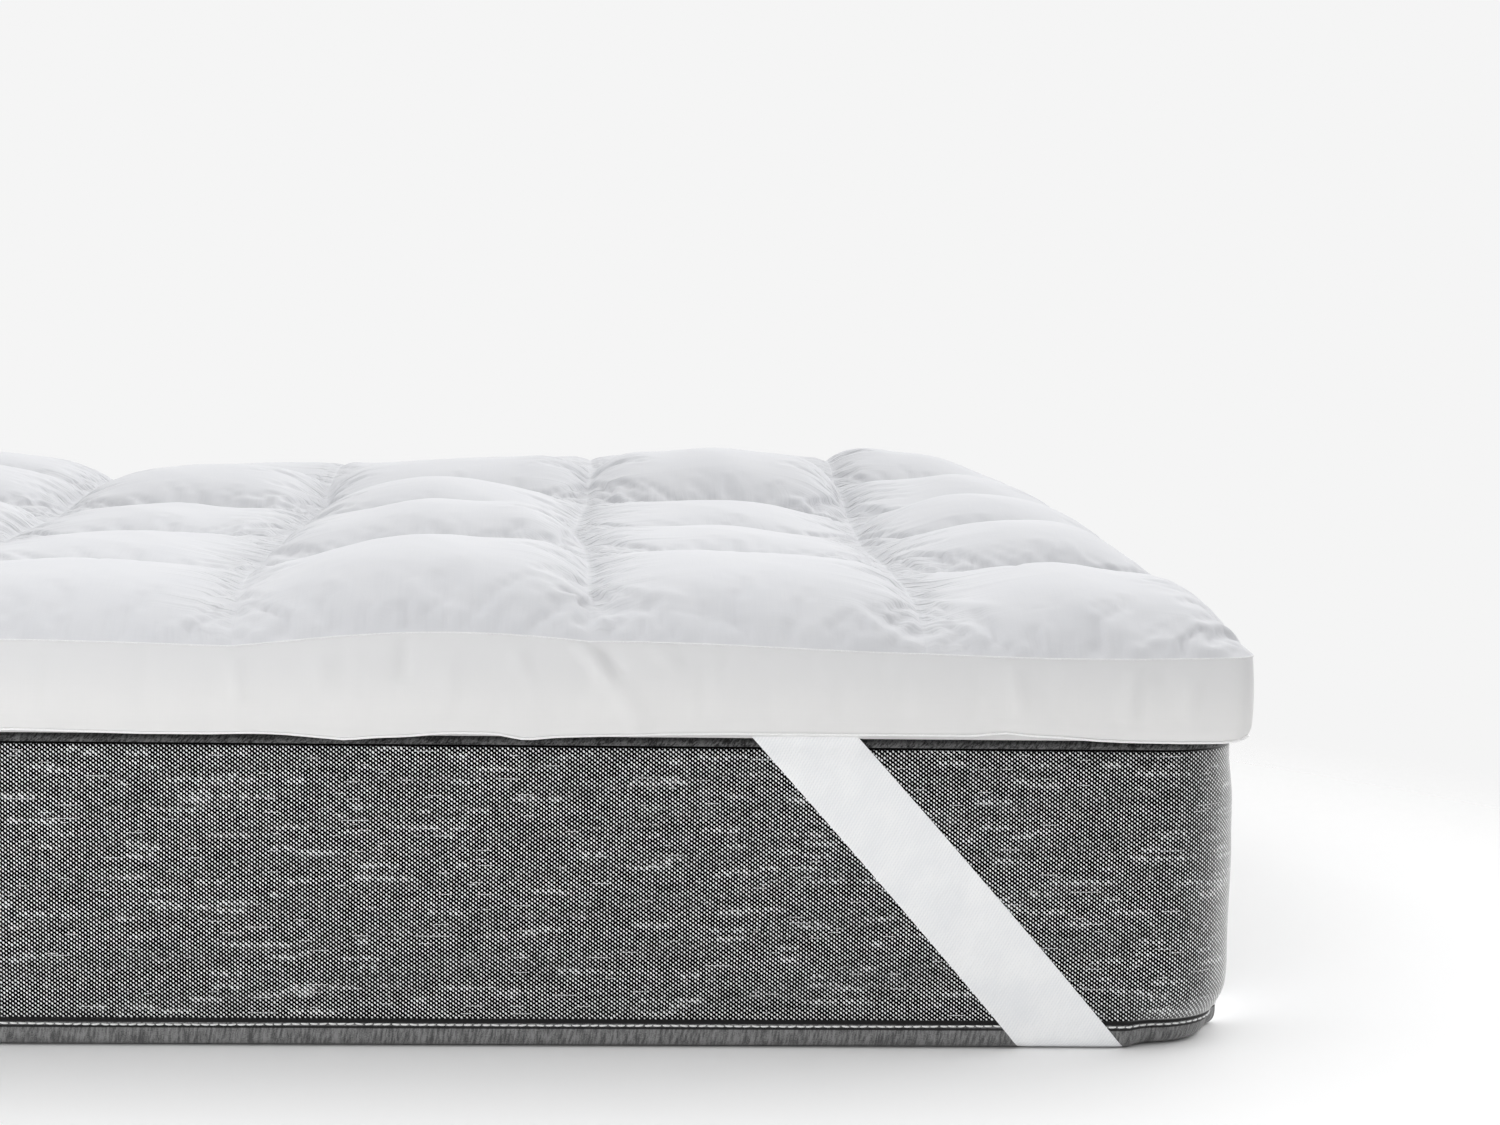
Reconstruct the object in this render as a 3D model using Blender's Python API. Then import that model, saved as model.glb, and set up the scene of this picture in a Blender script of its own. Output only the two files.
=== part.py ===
"""Filled mattress topper sewn in boxes, with four elastic corner straps, on the mattress that it fits.

Metres, +Z up. The origin is under the middle of the mattress, on the plane that its underside lies on.
X runs along the mattress's length, Y across its width, and the front long side faces -Y.
"""

import math

import bpy
import bmesh

# ---------------------------------------------------------------- driving dimensions (metres)
GAP = 0.0003                    # clearance between neighbouring pieces

MATTRESS_LENGTH = 1.900
MATTRESS_WIDTH = 1.370
MATTRESS_HEIGHT = 0.254
MATTRESS_PLAN_RADIUS = 0.070    # upright corners, seen from above
MATTRESS_BOTTOM_RADIUS = 0.026  # lower edge
MATTRESS_TOP_RADIUS = 0.008     # upper edge
PLAN_CORNER_STEPS = 8
BOTTOM_EDGE_STEPS = 6
TOP_EDGE_STEPS = 3

TOPPER_LENGTH = 1.914           # along the edge seam of the top panel
TOPPER_WIDTH = 1.394
TOPPER_FOOT = MATTRESS_HEIGHT + GAP
TOPPER_PLAN_RADIUS = 0.022      # upright corners, seen from above
EDGE_SEAM_HEIGHT = 0.331        # where the gusset meets the top panel
GUSSET_BULGE = 0.003            # how far the gusset stands out between its two seams
GUSSET_FOOT_INSET = 0.007       # lower edge, turned in
INNER_SEAM_RISE = 0.029         # how far the inner channels lie above the edge seam
INNER_SEAM_RUN = 0.040          # distance from the edge over which they rise
CHANNEL_EXPONENT = 2.3          # puff section: 2 is a parabola, more is squarer
CHANNEL_FULLNESS = 0.72
STEPS_PER_BOX = 8

# Sewn channels across the length, from the left edge to the right edge.
COLUMN_SEAMS = (-0.957, -0.693, -0.418, -0.143, 0.132, 0.412, 0.692, 0.957)
ROWS_OF_BOXES = 5

# Crown of every box above the edge seam. One row of the table for each row of boxes, front to back.
#            box from the left:  1      2      3      4      5      6      7
CROWNS = (
    ("front row",             (0.050, 0.062, 0.058, 0.047, 0.073, 0.057, 0.049)),
    ("second row",            (0.056, 0.060, 0.066, 0.048, 0.078, 0.054, 0.058)),
    ("middle row",            (0.052, 0.066, 0.056, 0.048, 0.074, 0.051, 0.055)),
    ("fourth row",            (0.050, 0.058, 0.064, 0.063, 0.073, 0.080, 0.049)),
    ("back row",              (0.054, 0.060, 0.057, 0.046, 0.062, 0.064, 0.057)),
)

# Lift of the front and back edge seams between two channels: the panel is pulled up a little by a full box.
#   box from the left:  1      2      3      4      5      6      7
EDGE_LIFT = (          0.001, 0.003, 0.002, 0.001, 0.007, 0.003, -0.003)
EDGE_DROP_AT_CHANNEL = 0.003

STRAP_THICKNESS = 0.0015
STRAP_WIDTH = 0.062
STRAP_TOP_FROM_CORNER = 0.3635  # centreline, along the edge, at the top of the mattress
STRAP_SLOPE = 0.9055            # sideways travel for each metre down the side
STRAP_FACE_GAP = 0.0004
GROOVE_SIDE_GAP = 0.0004

WHITE_COTTON = (0.86, 0.87, 0.89, 1.0)
WHITE_ELASTIC = (0.84, 0.85, 0.87, 1.0)
GREY_KNIT = (0.20, 0.20, 0.205, 1.0)

HALF_L = MATTRESS_LENGTH / 2
HALF_W = MATTRESS_WIDTH / 2


# ---------------------------------------------------------------- helpers
def material(name, colour, roughness):
    mat = bpy.data.materials.new(name)
    mat.use_nodes = True
    shader = mat.node_tree.nodes["Principled BSDF"]
    shader.inputs["Base Color"].default_value = colour
    shader.inputs["Roughness"].default_value = roughness
    shader.inputs["Metallic"].default_value = 0.0
    mat.diffuse_color = colour
    return mat


def add_object(name, verts, faces, mat=None, smooth=True):
    mesh = bpy.data.meshes.new(name)
    bm = bmesh.new()
    made = [bm.verts.new(v) for v in verts]
    for face in faces:
        bm.faces.new([made[i] for i in face])
    bmesh.ops.recalc_face_normals(bm, faces=bm.faces)
    bm.to_mesh(mesh)
    bm.free()
    obj = bpy.data.objects.new(name, mesh)
    bpy.context.collection.objects.link(obj)
    if mat is not None:
        mesh.materials.append(mat)
    if smooth:
        mesh.shade_smooth()
        mesh.set_sharp_from_angle(angle=math.radians(40))
    return obj


def rounded_rectangle(half_x, half_y, radius, steps):
    """Counter-clockwise outline with the same number of points whatever its size."""
    points = []
    for quarter, (sx, sy) in enumerate(((1, 1), (-1, 1), (-1, -1), (1, -1))):
        cx, cy = sx * (half_x - radius), sy * (half_y - radius)
        for k in range(steps + 1):
            a = math.radians(90 * quarter + 90 * k / steps)
            points.append((cx + radius * math.cos(a), cy + radius * math.sin(a)))
    return points


def loft(rings):
    """Faces between closed rings of equal length, listed from the bottom up, with both ends capped."""
    n = len(rings[0])
    verts = [p for ring in rings for p in ring]
    faces = []
    for r in range(len(rings) - 1):
        for k in range(n):
            a, b = r * n + k, r * n + (k + 1) % n
            faces.append((a, b, b + n, a + n))
    faces.append(tuple(range(n - 1, -1, -1)))
    top = (len(rings) - 1) * n
    faces.append(tuple(top + k for k in range(n)))
    return verts, faces


# ---------------------------------------------------------------- mattress
def mattress_profile():
    """(inset, height) pairs up the side, from the flat underside to the flat top."""
    rows = []
    for k in range(BOTTOM_EDGE_STEPS + 1):
        a = math.radians(90 * k / BOTTOM_EDGE_STEPS)
        r = MATTRESS_BOTTOM_RADIUS
        rows.append((r - r * math.sin(a), r - r * math.cos(a)))
    for k in range(TOP_EDGE_STEPS + 1):
        a = math.radians(90 * k / TOP_EDGE_STEPS)
        r = MATTRESS_TOP_RADIUS
        rows.append((r - r * math.cos(a), MATTRESS_HEIGHT - r + r * math.sin(a)))
    return rows


def build_mattress(mat):
    rings = []
    for inset, z in mattress_profile():
        outline = rounded_rectangle(HALF_L - inset, HALF_W - inset, MATTRESS_PLAN_RADIUS - inset, PLAN_CORNER_STEPS)
        rings.append([(x, y, z) for x, y in outline])
    verts, faces = loft(rings)
    return add_object("mattress", verts, faces, mat)


# ---------------------------------------------------------------- straps
def strap_rows():
    """Rows across the strap from the top of the side, round the lower edge, to the underside.

    Each row is (distance from the corner to the strap's centreline along the edge, turn round the lower edge in
    degrees, height on the side or None once the row is on the bend).
    """
    reach = lambda s: STRAP_TOP_FROM_CORNER - STRAP_SLOPE * s
    down = MATTRESS_HEIGHT - MATTRESS_BOTTOM_RADIUS
    rows = [(reach(0.0), 0.0, MATTRESS_HEIGHT), (reach(down), 0.0, MATTRESS_BOTTOM_RADIUS)]
    for k in range(1, BOTTOM_EDGE_STEPS + 1):
        turn = 90 * k / BOTTOM_EDGE_STEPS
        rows.append((reach(down + MATTRESS_BOTTOM_RADIUS * math.radians(turn)), turn, None))
    return rows


def strap_half_width():
    angle = math.atan2(1.0, STRAP_SLOPE)
    return STRAP_WIDTH / 2 / math.sin(angle)


def side_point(from_corner, turn, height, off):
    """Point of the front-right corner's front side: (x, y, z), off metres outside the mattress."""
    r = MATTRESS_BOTTOM_RADIUS
    a = math.radians(turn)
    x = HALF_L - from_corner
    y = -HALF_W + r - (r + off) * math.cos(a)
    z = (height if height is not None else r) - ((r + off) * math.sin(a) if turn else 0.0)
    return (x, y, z)


def strap_shell(inner_face, inner_under, outer_face, outer_under, extra, rows):
    """A band that goes down the front side, under the corner and up the right side.

    The inner and outer offsets go evenly from their value on the side to their value on the underside.
    """
    half = strap_half_width() + extra
    inner, outer = [], []
    for from_corner, turn, height in rows:
        t = turn / 90.0
        e_in = inner_face + (inner_under - inner_face) * t
        e_out = outer_face + (outer_under - outer_face) * t
        for offs, line in ((e_in, inner), (e_out, outer)):
            line.append((side_point(from_corner + half, turn, height, offs),
                         side_point(from_corner - half, turn, height, offs)))

    def other_side(p):
        """Reflect a point in the corner's diagonal, which swaps the front side with the right side."""
        dx, dy = HALF_L - p[0], p[1] + HALF_W
        return (HALF_L - dy, -HALF_W + dx, p[2])

    for line in (inner, outer):
        line += [(other_side(a), other_side(b)) for a, b in reversed(line)]
    n = len(inner)
    verts = [p for row in inner for p in row] + [p for row in outer for p in row]
    at = lambda side, k, e: side * 2 * n + 2 * k + e
    faces = []
    for k in range(n - 1):
        faces.append((at(0, k, 0), at(0, k, 1), at(0, k + 1, 1), at(0, k + 1, 0)))
        faces.append((at(1, k, 0), at(1, k + 1, 0), at(1, k + 1, 1), at(1, k, 1)))
        faces.append((at(0, k, 0), at(0, k + 1, 0), at(1, k + 1, 0), at(1, k, 0)))
        faces.append((at(0, k, 1), at(1, k, 1), at(1, k + 1, 1), at(0, k + 1, 1)))
    for k in (0, n - 1):
        faces.append((at(0, k, 0), at(0, k, 1), at(1, k, 1), at(1, k, 0)))
    return verts, faces


CORNERS = (
    # name            sign of x  sign of y (the corner is modelled at +x, -y)
    ("front_right",   1,         1),
    ("front_left",   -1,         1),
    ("back_right",    1,        -1),
    ("back_left",    -1,        -1),
)


def build_straps_and_grooves(mattress, mat):
    rows = strap_rows()
    under_in = -(STRAP_THICKNESS + GAP)     # inside of the band, above the plane of the underside
    under_out = -GAP                        # outside of the band, just above that plane
    groove_verts, groove_faces = [], []
    for name, sx, sy in CORNERS:
        verts, faces = strap_shell(STRAP_FACE_GAP, under_in, STRAP_FACE_GAP + STRAP_THICKNESS, under_out, 0.0, rows)
        add_object("strap_" + name, [(sx * x, sy * y, z) for x, y, z in verts], faces, mat)

        # The foam gives way under the band: a shallow groove, cut a little wider and deeper than the band.
        verts, faces = strap_shell(STRAP_FACE_GAP - GAP * 0.85, under_in - GAP, 0.006, 0.006, GROOVE_SIDE_GAP, rows[1:])
        first = len(groove_verts)
        groove_verts += [(sx * x, sy * y, z) for x, y, z in verts]
        groove_faces += [tuple(first + i for i in face) for face in faces]

    cutter = add_object("grooves", groove_verts, groove_faces)
    cutter.hide_render = True
    cutter.display_type = "WIRE"
    groove = mattress.modifiers.new("grooves", "BOOLEAN")
    groove.operation = "DIFFERENCE"
    groove.solver = "EXACT"
    groove.object = cutter


# ---------------------------------------------------------------- topper
def eased(count):
    """Steps from 0 to 1 that are closer together at both ends, where the channels are."""
    return [0.5 - 0.5 * math.cos(math.pi * k / count) for k in range(count + 1)]


def puff(u):
    """Section of one box from channel (0) to channel (1)."""
    return max(0.0, 1.0 - abs(2 * u - 1) ** CHANNEL_EXPONENT) ** CHANNEL_FULLNESS


def squared_corner(x, y):
    """Pull the top panel's square corners in to the plan radius."""
    hx, hy, r = TOPPER_LENGTH / 2, TOPPER_WIDTH / 2, TOPPER_PLAN_RADIUS
    cx, cy = hx - r, hy - r
    dx, dy = abs(x) - cx, abs(y) - cy
    if dx <= 0 or dy <= 0:
        return x, y
    reach = max(dx, dy) / math.hypot(dx, dy)
    return math.copysign(cx + dx * reach, x), math.copysign(cy + dy * reach, y)


def build_topper(mat):
    hx, hy = TOPPER_LENGTH / 2, TOPPER_WIDTH / 2
    steps = eased(STEPS_PER_BOX)
    row_seams = [-hy + TOPPER_WIDTH * k / ROWS_OF_BOXES for k in range(ROWS_OF_BOXES + 1)]

    def stations(seams):
        """(box number, place in the box, coordinate) across all the boxes of one direction."""
        out = []
        for box in range(len(seams) - 1):
            for k, u in enumerate(steps):
                if k == 0 and box > 0:
                    continue
                out.append((box, u, seams[box] + (seams[box + 1] - seams[box]) * u))
        return out

    across, deep = stations(COLUMN_SEAMS), stations(row_seams)
    nx, ny = len(across), len(deep)
    verts = []
    for j, (row, v, y) in enumerate(deep):
        for i, (col, u, x) in enumerate(across):
            inward = min(hx - abs(x), hy - abs(y))
            rise = INNER_SEAM_RISE * (1 - math.exp(-inward / INNER_SEAM_RUN))
            crown = CROWNS[row][1][col]
            bump = puff(u) * puff(v)
            z = EDGE_SEAM_HEIGHT + rise * (1 - bump) + crown * bump
            if j in (0, ny - 1):
                z += EDGE_LIFT[col] * puff(u) - EDGE_DROP_AT_CHANNEL * (1 - puff(u))
            px, py = squared_corner(x, y)
            verts.append((px, py, z))
    faces = []
    for j in range(ny - 1):
        for i in range(nx - 1):
            a = j * nx + i
            faces.append((a, a + 1, a + 1 + nx, a + nx))

    # The rim of the panel, counter-clockwise from the front-left corner.
    rim = [i for i in range(nx)]
    rim += [j * nx + nx - 1 for j in range(1, ny)]
    rim += [(ny - 1) * nx + i for i in range(nx - 2, -1, -1)]
    rim += [j * nx for j in range(ny - 2, 0, -1)]

    # Gusset: (share of the height down from the edge seam, how far it stands out)
    gusset = (
        (0.12, 0.5 * GUSSET_BULGE),
        (0.50, GUSSET_BULGE),
        (0.94, -0.15 * GUSSET_FOOT_INSET),
        (1.00, -GUSSET_FOOT_INSET),
    )
    upper = rim
    for share, out in gusset:
        lower = []
        for i in rim:
            x, y, z = verts[i]
            sx, sy = (hx + out) / hx, (hy + out) / hy
            lower.append(len(verts))
            verts.append((x * sx, y * sy, z + (TOPPER_FOOT - z) * share))
        n = len(rim)
        for k in range(n):
            faces.append((lower[k], lower[(k + 1) % n], upper[(k + 1) % n], upper[k]))
        upper = lower
    faces.append(tuple(reversed(upper)))
    return add_object("topper", verts, faces, mat)


# ---------------------------------------------------------------- build
def main():
    for obj in list(bpy.data.objects):
        bpy.data.objects.remove(obj, do_unlink=True)

    cotton = material("topper_cotton", WHITE_COTTON, 0.85)
    elastic = material("strap_elastic", WHITE_ELASTIC, 0.75)
    knit = material("mattress_knit", GREY_KNIT, 0.95)

    mattress = build_mattress(knit)
    build_straps_and_grooves(mattress, elastic)
    build_topper(cotton)


main()
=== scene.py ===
"""Looks of a filled mattress topper with elastic corner straps, on the mattress that it fits.

Metres, +Z up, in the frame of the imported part: the mattress's underside lies on z = 0, its front long side faces -Y.
"""

import math

import bmesh
import bpy
import numpy as np
from mathutils import Matrix, Vector


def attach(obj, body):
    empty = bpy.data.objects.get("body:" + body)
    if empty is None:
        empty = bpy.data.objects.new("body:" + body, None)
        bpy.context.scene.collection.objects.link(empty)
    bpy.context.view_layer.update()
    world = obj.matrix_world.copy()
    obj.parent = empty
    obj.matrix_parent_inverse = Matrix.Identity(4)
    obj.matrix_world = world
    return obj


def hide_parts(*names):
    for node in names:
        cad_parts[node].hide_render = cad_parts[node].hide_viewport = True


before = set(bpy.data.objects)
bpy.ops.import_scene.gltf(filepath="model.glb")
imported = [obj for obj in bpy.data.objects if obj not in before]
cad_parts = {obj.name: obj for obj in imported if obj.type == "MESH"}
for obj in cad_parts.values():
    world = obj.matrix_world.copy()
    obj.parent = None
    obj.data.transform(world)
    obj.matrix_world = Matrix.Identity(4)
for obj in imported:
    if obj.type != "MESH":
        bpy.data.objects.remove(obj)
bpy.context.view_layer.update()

# =====================================================================================================================
# Sizes (metres)
# =====================================================================================================================
HALF_L, HALF_W, MATTRESS_H = 0.950, 0.685, 0.254
PLAN_R, FOOT_R, TOP_R = 0.070, 0.010, 0.008

TX, TY = 0.9545, 0.697             # the topper's edge seam
TOPPER_FOOT = MATTRESS_H + 0.0006
CORNER_R = 0.016
ROWS = 5
ROW_SEAMS = [-TY + 2 * TY * k / ROWS for k in range(ROWS + 1)]
ROW_DEPTH = 2 * TY / ROWS

# Sewn column seams, left to right; a row of the table for each seam, a value for each row seam from front to back.
COLUMN_X = np.array([
    (-TX, -TX, -TX, -TX, -TX, -TX),
    (-0.693, -0.698, -0.690, -0.686, -0.695, -0.693),
    (-0.418, -0.412, -0.421, -0.424, -0.416, -0.420),
    (-0.143, -0.150, -0.146, -0.138, -0.141, -0.146),
    (0.132, 0.124, 0.132, 0.138, 0.126, 0.134),
    (0.416, 0.413, 0.402, 0.413, 0.419, 0.413),
    (0.687, 0.681, 0.681, 0.690, 0.695, 0.694),
    (TX, TX, TX, TX, TX, TX),
])
# Height of the sewn crossings, in the same layout.
CROSSING_Z = np.array([
    (0.3270, 0.329, 0.331, 0.330, 0.331, 0.328),
    (0.3290, 0.360, 0.357, 0.363, 0.359, 0.331),
    (0.3310, 0.358, 0.364, 0.358, 0.362, 0.330),
    (0.3300, 0.358, 0.350, 0.350, 0.354, 0.332),
    (0.3275, 0.355, 0.360, 0.354, 0.366, 0.331),
    (0.3340, 0.374, 0.366, 0.370, 0.380, 0.335),
    (0.3265, 0.363, 0.355, 0.354, 0.370, 0.330),
    (0.3260, 0.330, 0.331, 0.331, 0.330, 0.328),
])
# How far a column seam arches up between two crossings, for each seam (0 to 7) and row.
SEAM_ARCH = np.zeros((8, 5))
SEAM_ARCH[4] = (0.008, 0.0, 0.0, 0.0, 0.0145)
SEAM_ARCH[5] = (0.0, 0.0, 0.0, 0.012, 0.011)
SEAM_ARCH[6] = (0.0, 0.0, 0.0, 0.0, 0.022)
FRONT_LIFT = (0.002, 0.004, 0.003, 0.002, 0.009, 0.001, -0.003)
BACK_LIFT = (0.002, 0.003, 0.003, 0.004, 0.003, 0.004, 0.002)
RIGHT_LIFT = (0.002, 0.003, 0.003, 0.002, 0.002)
LEFT_LIFT = (0.003, 0.002, 0.003, 0.002, 0.002)
EDGE_RUN = 0.065                   # how fast the inner seams rise from the edge

# Height of every box's crown line above its seams at five stations from its left seam to its right one, and where the
# crown line lies between the box's front seam (0) and back seam (1).
STATIONS = (0.12, 0.30, 0.50, 0.70, 0.88)
CROWN = {
    #  (column, row): (   12 %    30 %    50 %    70 %    88 %), crown line
    (0, 0): ((0.0327, 0.0308, 0.0330, 0.0354, 0.0395), 0.50),
    (0, 1): ((0.0408, 0.0376, 0.0396, 0.0399, 0.0422), 0.52),
    (0, 2): ((0.0354, 0.0354, 0.0352, 0.0342, 0.0367), 0.49),
    (0, 3): ((0.0367, 0.0342, 0.0319, 0.0354, 0.0449), 0.51),
    (0, 4): ((0.0422, 0.0388, 0.0363, 0.0342, 0.0354), 0.48),
    (1, 0): ((0.0381, 0.0354, 0.0374, 0.0376, 0.0408), 0.49),
    (1, 1): ((0.0422, 0.0376, 0.0341, 0.0331, 0.0408), 0.50),
    (1, 2): ((0.0395, 0.0388, 0.0418, 0.0411, 0.0422), 0.52),
    (1, 3): ((0.0354, 0.0319, 0.0330, 0.0354, 0.0395), 0.48),
    (1, 4): ((0.0408, 0.0354, 0.0352, 0.0388, 0.0449), 0.51),
    (2, 0): ((0.0422, 0.0376, 0.0352, 0.0331, 0.0354), 0.51),
    (2, 1): ((0.0449, 0.0422, 0.0429, 0.0411, 0.0435), 0.49),
    (2, 2): ((0.0354, 0.0319, 0.0319, 0.0342, 0.0395), 0.51),
    (2, 3): ((0.0422, 0.0411, 0.0418, 0.0411, 0.0449), 0.50),
    (2, 4): ((0.0381, 0.0342, 0.0341, 0.0342, 0.0381), 0.49),
    (3, 0): ((0.0201, 0.0195, 0.0183, 0.0158, 0.0183), 0.50),
    (3, 1): ((0.0207, 0.0201, 0.0190, 0.0161, 0.0113), 0.50),
    (3, 2): ((0.0253, 0.0249, 0.0241, 0.0201, 0.0298), 0.51),
    (3, 3): ((0.0398, 0.0399, 0.0378, 0.0406, 0.0488), 0.50),
    (3, 4): ((0.0195, 0.0191, 0.0131, 0.0098, 0.0095), 0.50),
    (4, 0): ((0.0215, 0.0305, 0.0350, 0.0333, 0.0426), 0.51),
    (4, 1): ((0.0435, 0.0416, 0.0459, 0.0462, 0.0639), 0.49),
    (4, 2): ((0.0466, 0.0486, 0.0455, 0.0380, 0.0328), 0.50),
    (4, 3): ((0.0437, 0.0363, 0.0303, 0.0288, 0.0400), 0.50),
    (4, 4): ((0.0065, 0.0050, 0.0062, 0.0075, 0.0095), 0.50),
    (5, 0): ((0.0194, 0.0207, 0.0208, 0.0247, 0.0317), 0.50),
    (5, 1): ((0.0254, 0.0209, 0.0233, 0.0226, 0.0263), 0.50),
    (5, 2): ((0.0185, 0.0193, 0.0245, 0.0280, 0.0241), 0.50),
    (5, 3): ((0.0454, 0.0376, 0.0446, 0.0513, 0.0714), 0.52),
    (5, 4): ((0.0125, 0.0130, 0.0130, 0.0130, 0.0140), 0.50),
    (6, 0): ((0.0060, 0.0161, 0.0238, 0.0245, 0.0420), 0.55),
    (6, 1): ((0.0297, 0.0361, 0.0409, 0.0420, 0.0250), 0.51),
    (6, 2): ((0.0328, 0.0429, 0.0450, 0.0435, 0.0390), 0.50),
    (6, 3): ((0.0274, 0.0249, 0.0330, 0.0320, 0.0300), 0.50),
    (6, 4): ((0.0306, 0.0186, 0.0140, 0.0050, 0.0020), 0.52),
}
PUFF_P, PUFF_DEEP = 2.3, 0.75
# How steeply each column's boxes rise from their left and right seams; the higher, the gentler.
PUFF_SIDES = ((0.85, 0.95), (0.85, 0.95), (0.85, 0.95), (0.85, 1.10), (0.68, 0.98), (0.90, 0.92), (0.85, 1.00))

# Camera: a long lens a little above the topper, looking slightly down.
CAM_POS = (0.41275, -3.31467, 0.67047)
CAM_PITCH, CAM_YAW, CAM_ROLL = math.radians(5.918), math.radians(2.869), math.radians(0.916)
CAM_FOCAL_PX, IMAGE_W, IMAGE_H = 3300.0, 1500, 1125


# =====================================================================================================================
# Small helpers
# =====================================================================================================================
def rise(d):
    return 1.0 - np.exp(-np.asarray(d, dtype=float) / EDGE_RUN)


def ease(t):
    return t * t * (3.0 - 2.0 * t)


def puff(u, power=PUFF_DEEP):
    return np.clip(1.0 - np.abs(2.0 * u - 1.0) ** PUFF_P, 0.0, None) ** power


def station_curve(values, u):
    """Smooth curve through the crown heights at STATIONS, level towards both seams."""
    xs = np.array((0.0,) + STATIONS + (1.0,))
    ys = np.array((values[0],) + tuple(values) + (values[-1],))
    i = np.clip(np.searchsorted(xs, u, side="right") - 1, 0, len(xs) - 2)
    t = (u - xs[i]) / (xs[i + 1] - xs[i])
    at = lambda k: ys[np.clip(k, 0, len(ys) - 1)]
    p0, p1, p2, p3 = at(i - 1), at(i), at(i + 1), at(i + 2)
    m1, m2 = (p2 - p0) / 2, (p3 - p1) / 2
    return (2 * t**3 - 3 * t**2 + 1) * p1 + (t**3 - 2 * t**2 + t) * m1 + (3 * t**2 - 2 * t**3) * p2 + (t**3 - t**2) * m2


def value_noise(seed, shape=(256,)):
    """Table of repeatable random numbers between -1 and 1."""
    return np.random.default_rng(seed).uniform(-1.0, 1.0, shape)


def noise1(x, seed):
    """Smooth one-dimensional noise, about one wave for each unit of x."""
    table = value_noise(seed)
    i = np.floor(x).astype(int)
    f = ease(x - i)
    return table[i % 256] * (1 - f) + table[(i + 1) % 256] * f


def noise2(x, y, seed):
    """Smooth two-dimensional noise."""
    table = value_noise(seed, (64, 64))
    i, j = np.floor(x).astype(int), np.floor(y).astype(int)
    fx, fy = ease(x - i), ease(y - j)
    a = table[i % 64, j % 64] * (1 - fx) + table[(i + 1) % 64, j % 64] * fx
    b = table[i % 64, (j + 1) % 64] * (1 - fx) + table[(i + 1) % 64, (j + 1) % 64] * fx
    return a * (1 - fy) + b * fy


def new_mesh(name, verts, faces, uv=None, materials=(), smooth=True):
    """Object from arrays. faces is an (n, 4) array or a list of tuples; uv holds a pair for each vertex."""
    mesh = bpy.data.meshes.new(name)
    mesh.from_pydata([tuple(map(float, v)) for v in verts], [], [tuple(map(int, f)) for f in faces])
    if uv is not None:
        layer = mesh.uv_layers.new(name="UVMap")
        loops = np.empty(len(mesh.loops), dtype=np.int32)
        mesh.loops.foreach_get("vertex_index", loops)
        layer.data.foreach_set("uv", np.asarray(uv, dtype=np.float32)[loops].ravel())
    for mat in materials:
        mesh.materials.append(mat)
    mesh.update()
    obj = bpy.data.objects.new(name, mesh)
    bpy.context.collection.objects.link(obj)
    if smooth:
        mesh.shade_smooth()
    return obj


def point_values(obj, name, values):
    """Store a number for each vertex, to be read by the material."""
    layer = obj.data.attributes.new(name, "FLOAT", "POINT")
    layer.data.foreach_set("value", np.asarray(values, dtype=np.float32))


# =====================================================================================================================
# Topper: planned surface
# =====================================================================================================================
def through(values, t):
    """Smooth curve through evenly spaced values, read at t = 0, 1, 2, ..."""
    values = np.asarray(values, dtype=float)
    i = np.clip(np.floor(t).astype(int), 0, len(values) - 2)
    f = t - i
    at = lambda k: values[np.clip(k, 0, len(values) - 1)]
    p0, p1, p2, p3 = at(i - 1), at(i), at(i + 1), at(i + 2)
    m1, m2 = (p2 - p0) / 2, (p3 - p1) / 2
    return (2 * f**3 - 3 * f**2 + 1) * p1 + (f**3 - 2 * f**2 + f) * m1 + (3 * f**2 - 2 * f**3) * p2 + (f**3 - f**2) * m2


def column_height(c, r, v):
    """Height of column seam c between row seams r and r + 1."""
    a, b = CROSSING_Z[c, r], CROSSING_Z[c, r + 1]
    if c == 0 or c == 7:
        lift = (LEFT_LIFT if c == 0 else RIGHT_LIFT)[r]
        return a + (b - a) * ease(v) + lift * np.sin(np.pi * v)
    arch = SEAM_ARCH[c, r] * np.sin(np.pi * v)
    if r == 0:
        return a + (b - a) * rise(v * ROW_DEPTH) / rise(ROW_DEPTH) + arch
    if r == ROWS - 1:
        return b + (a - b) * rise((1 - v) * ROW_DEPTH) / rise(ROW_DEPTH) + arch
    return a + (b - a) * ease(v) + arch


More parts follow.
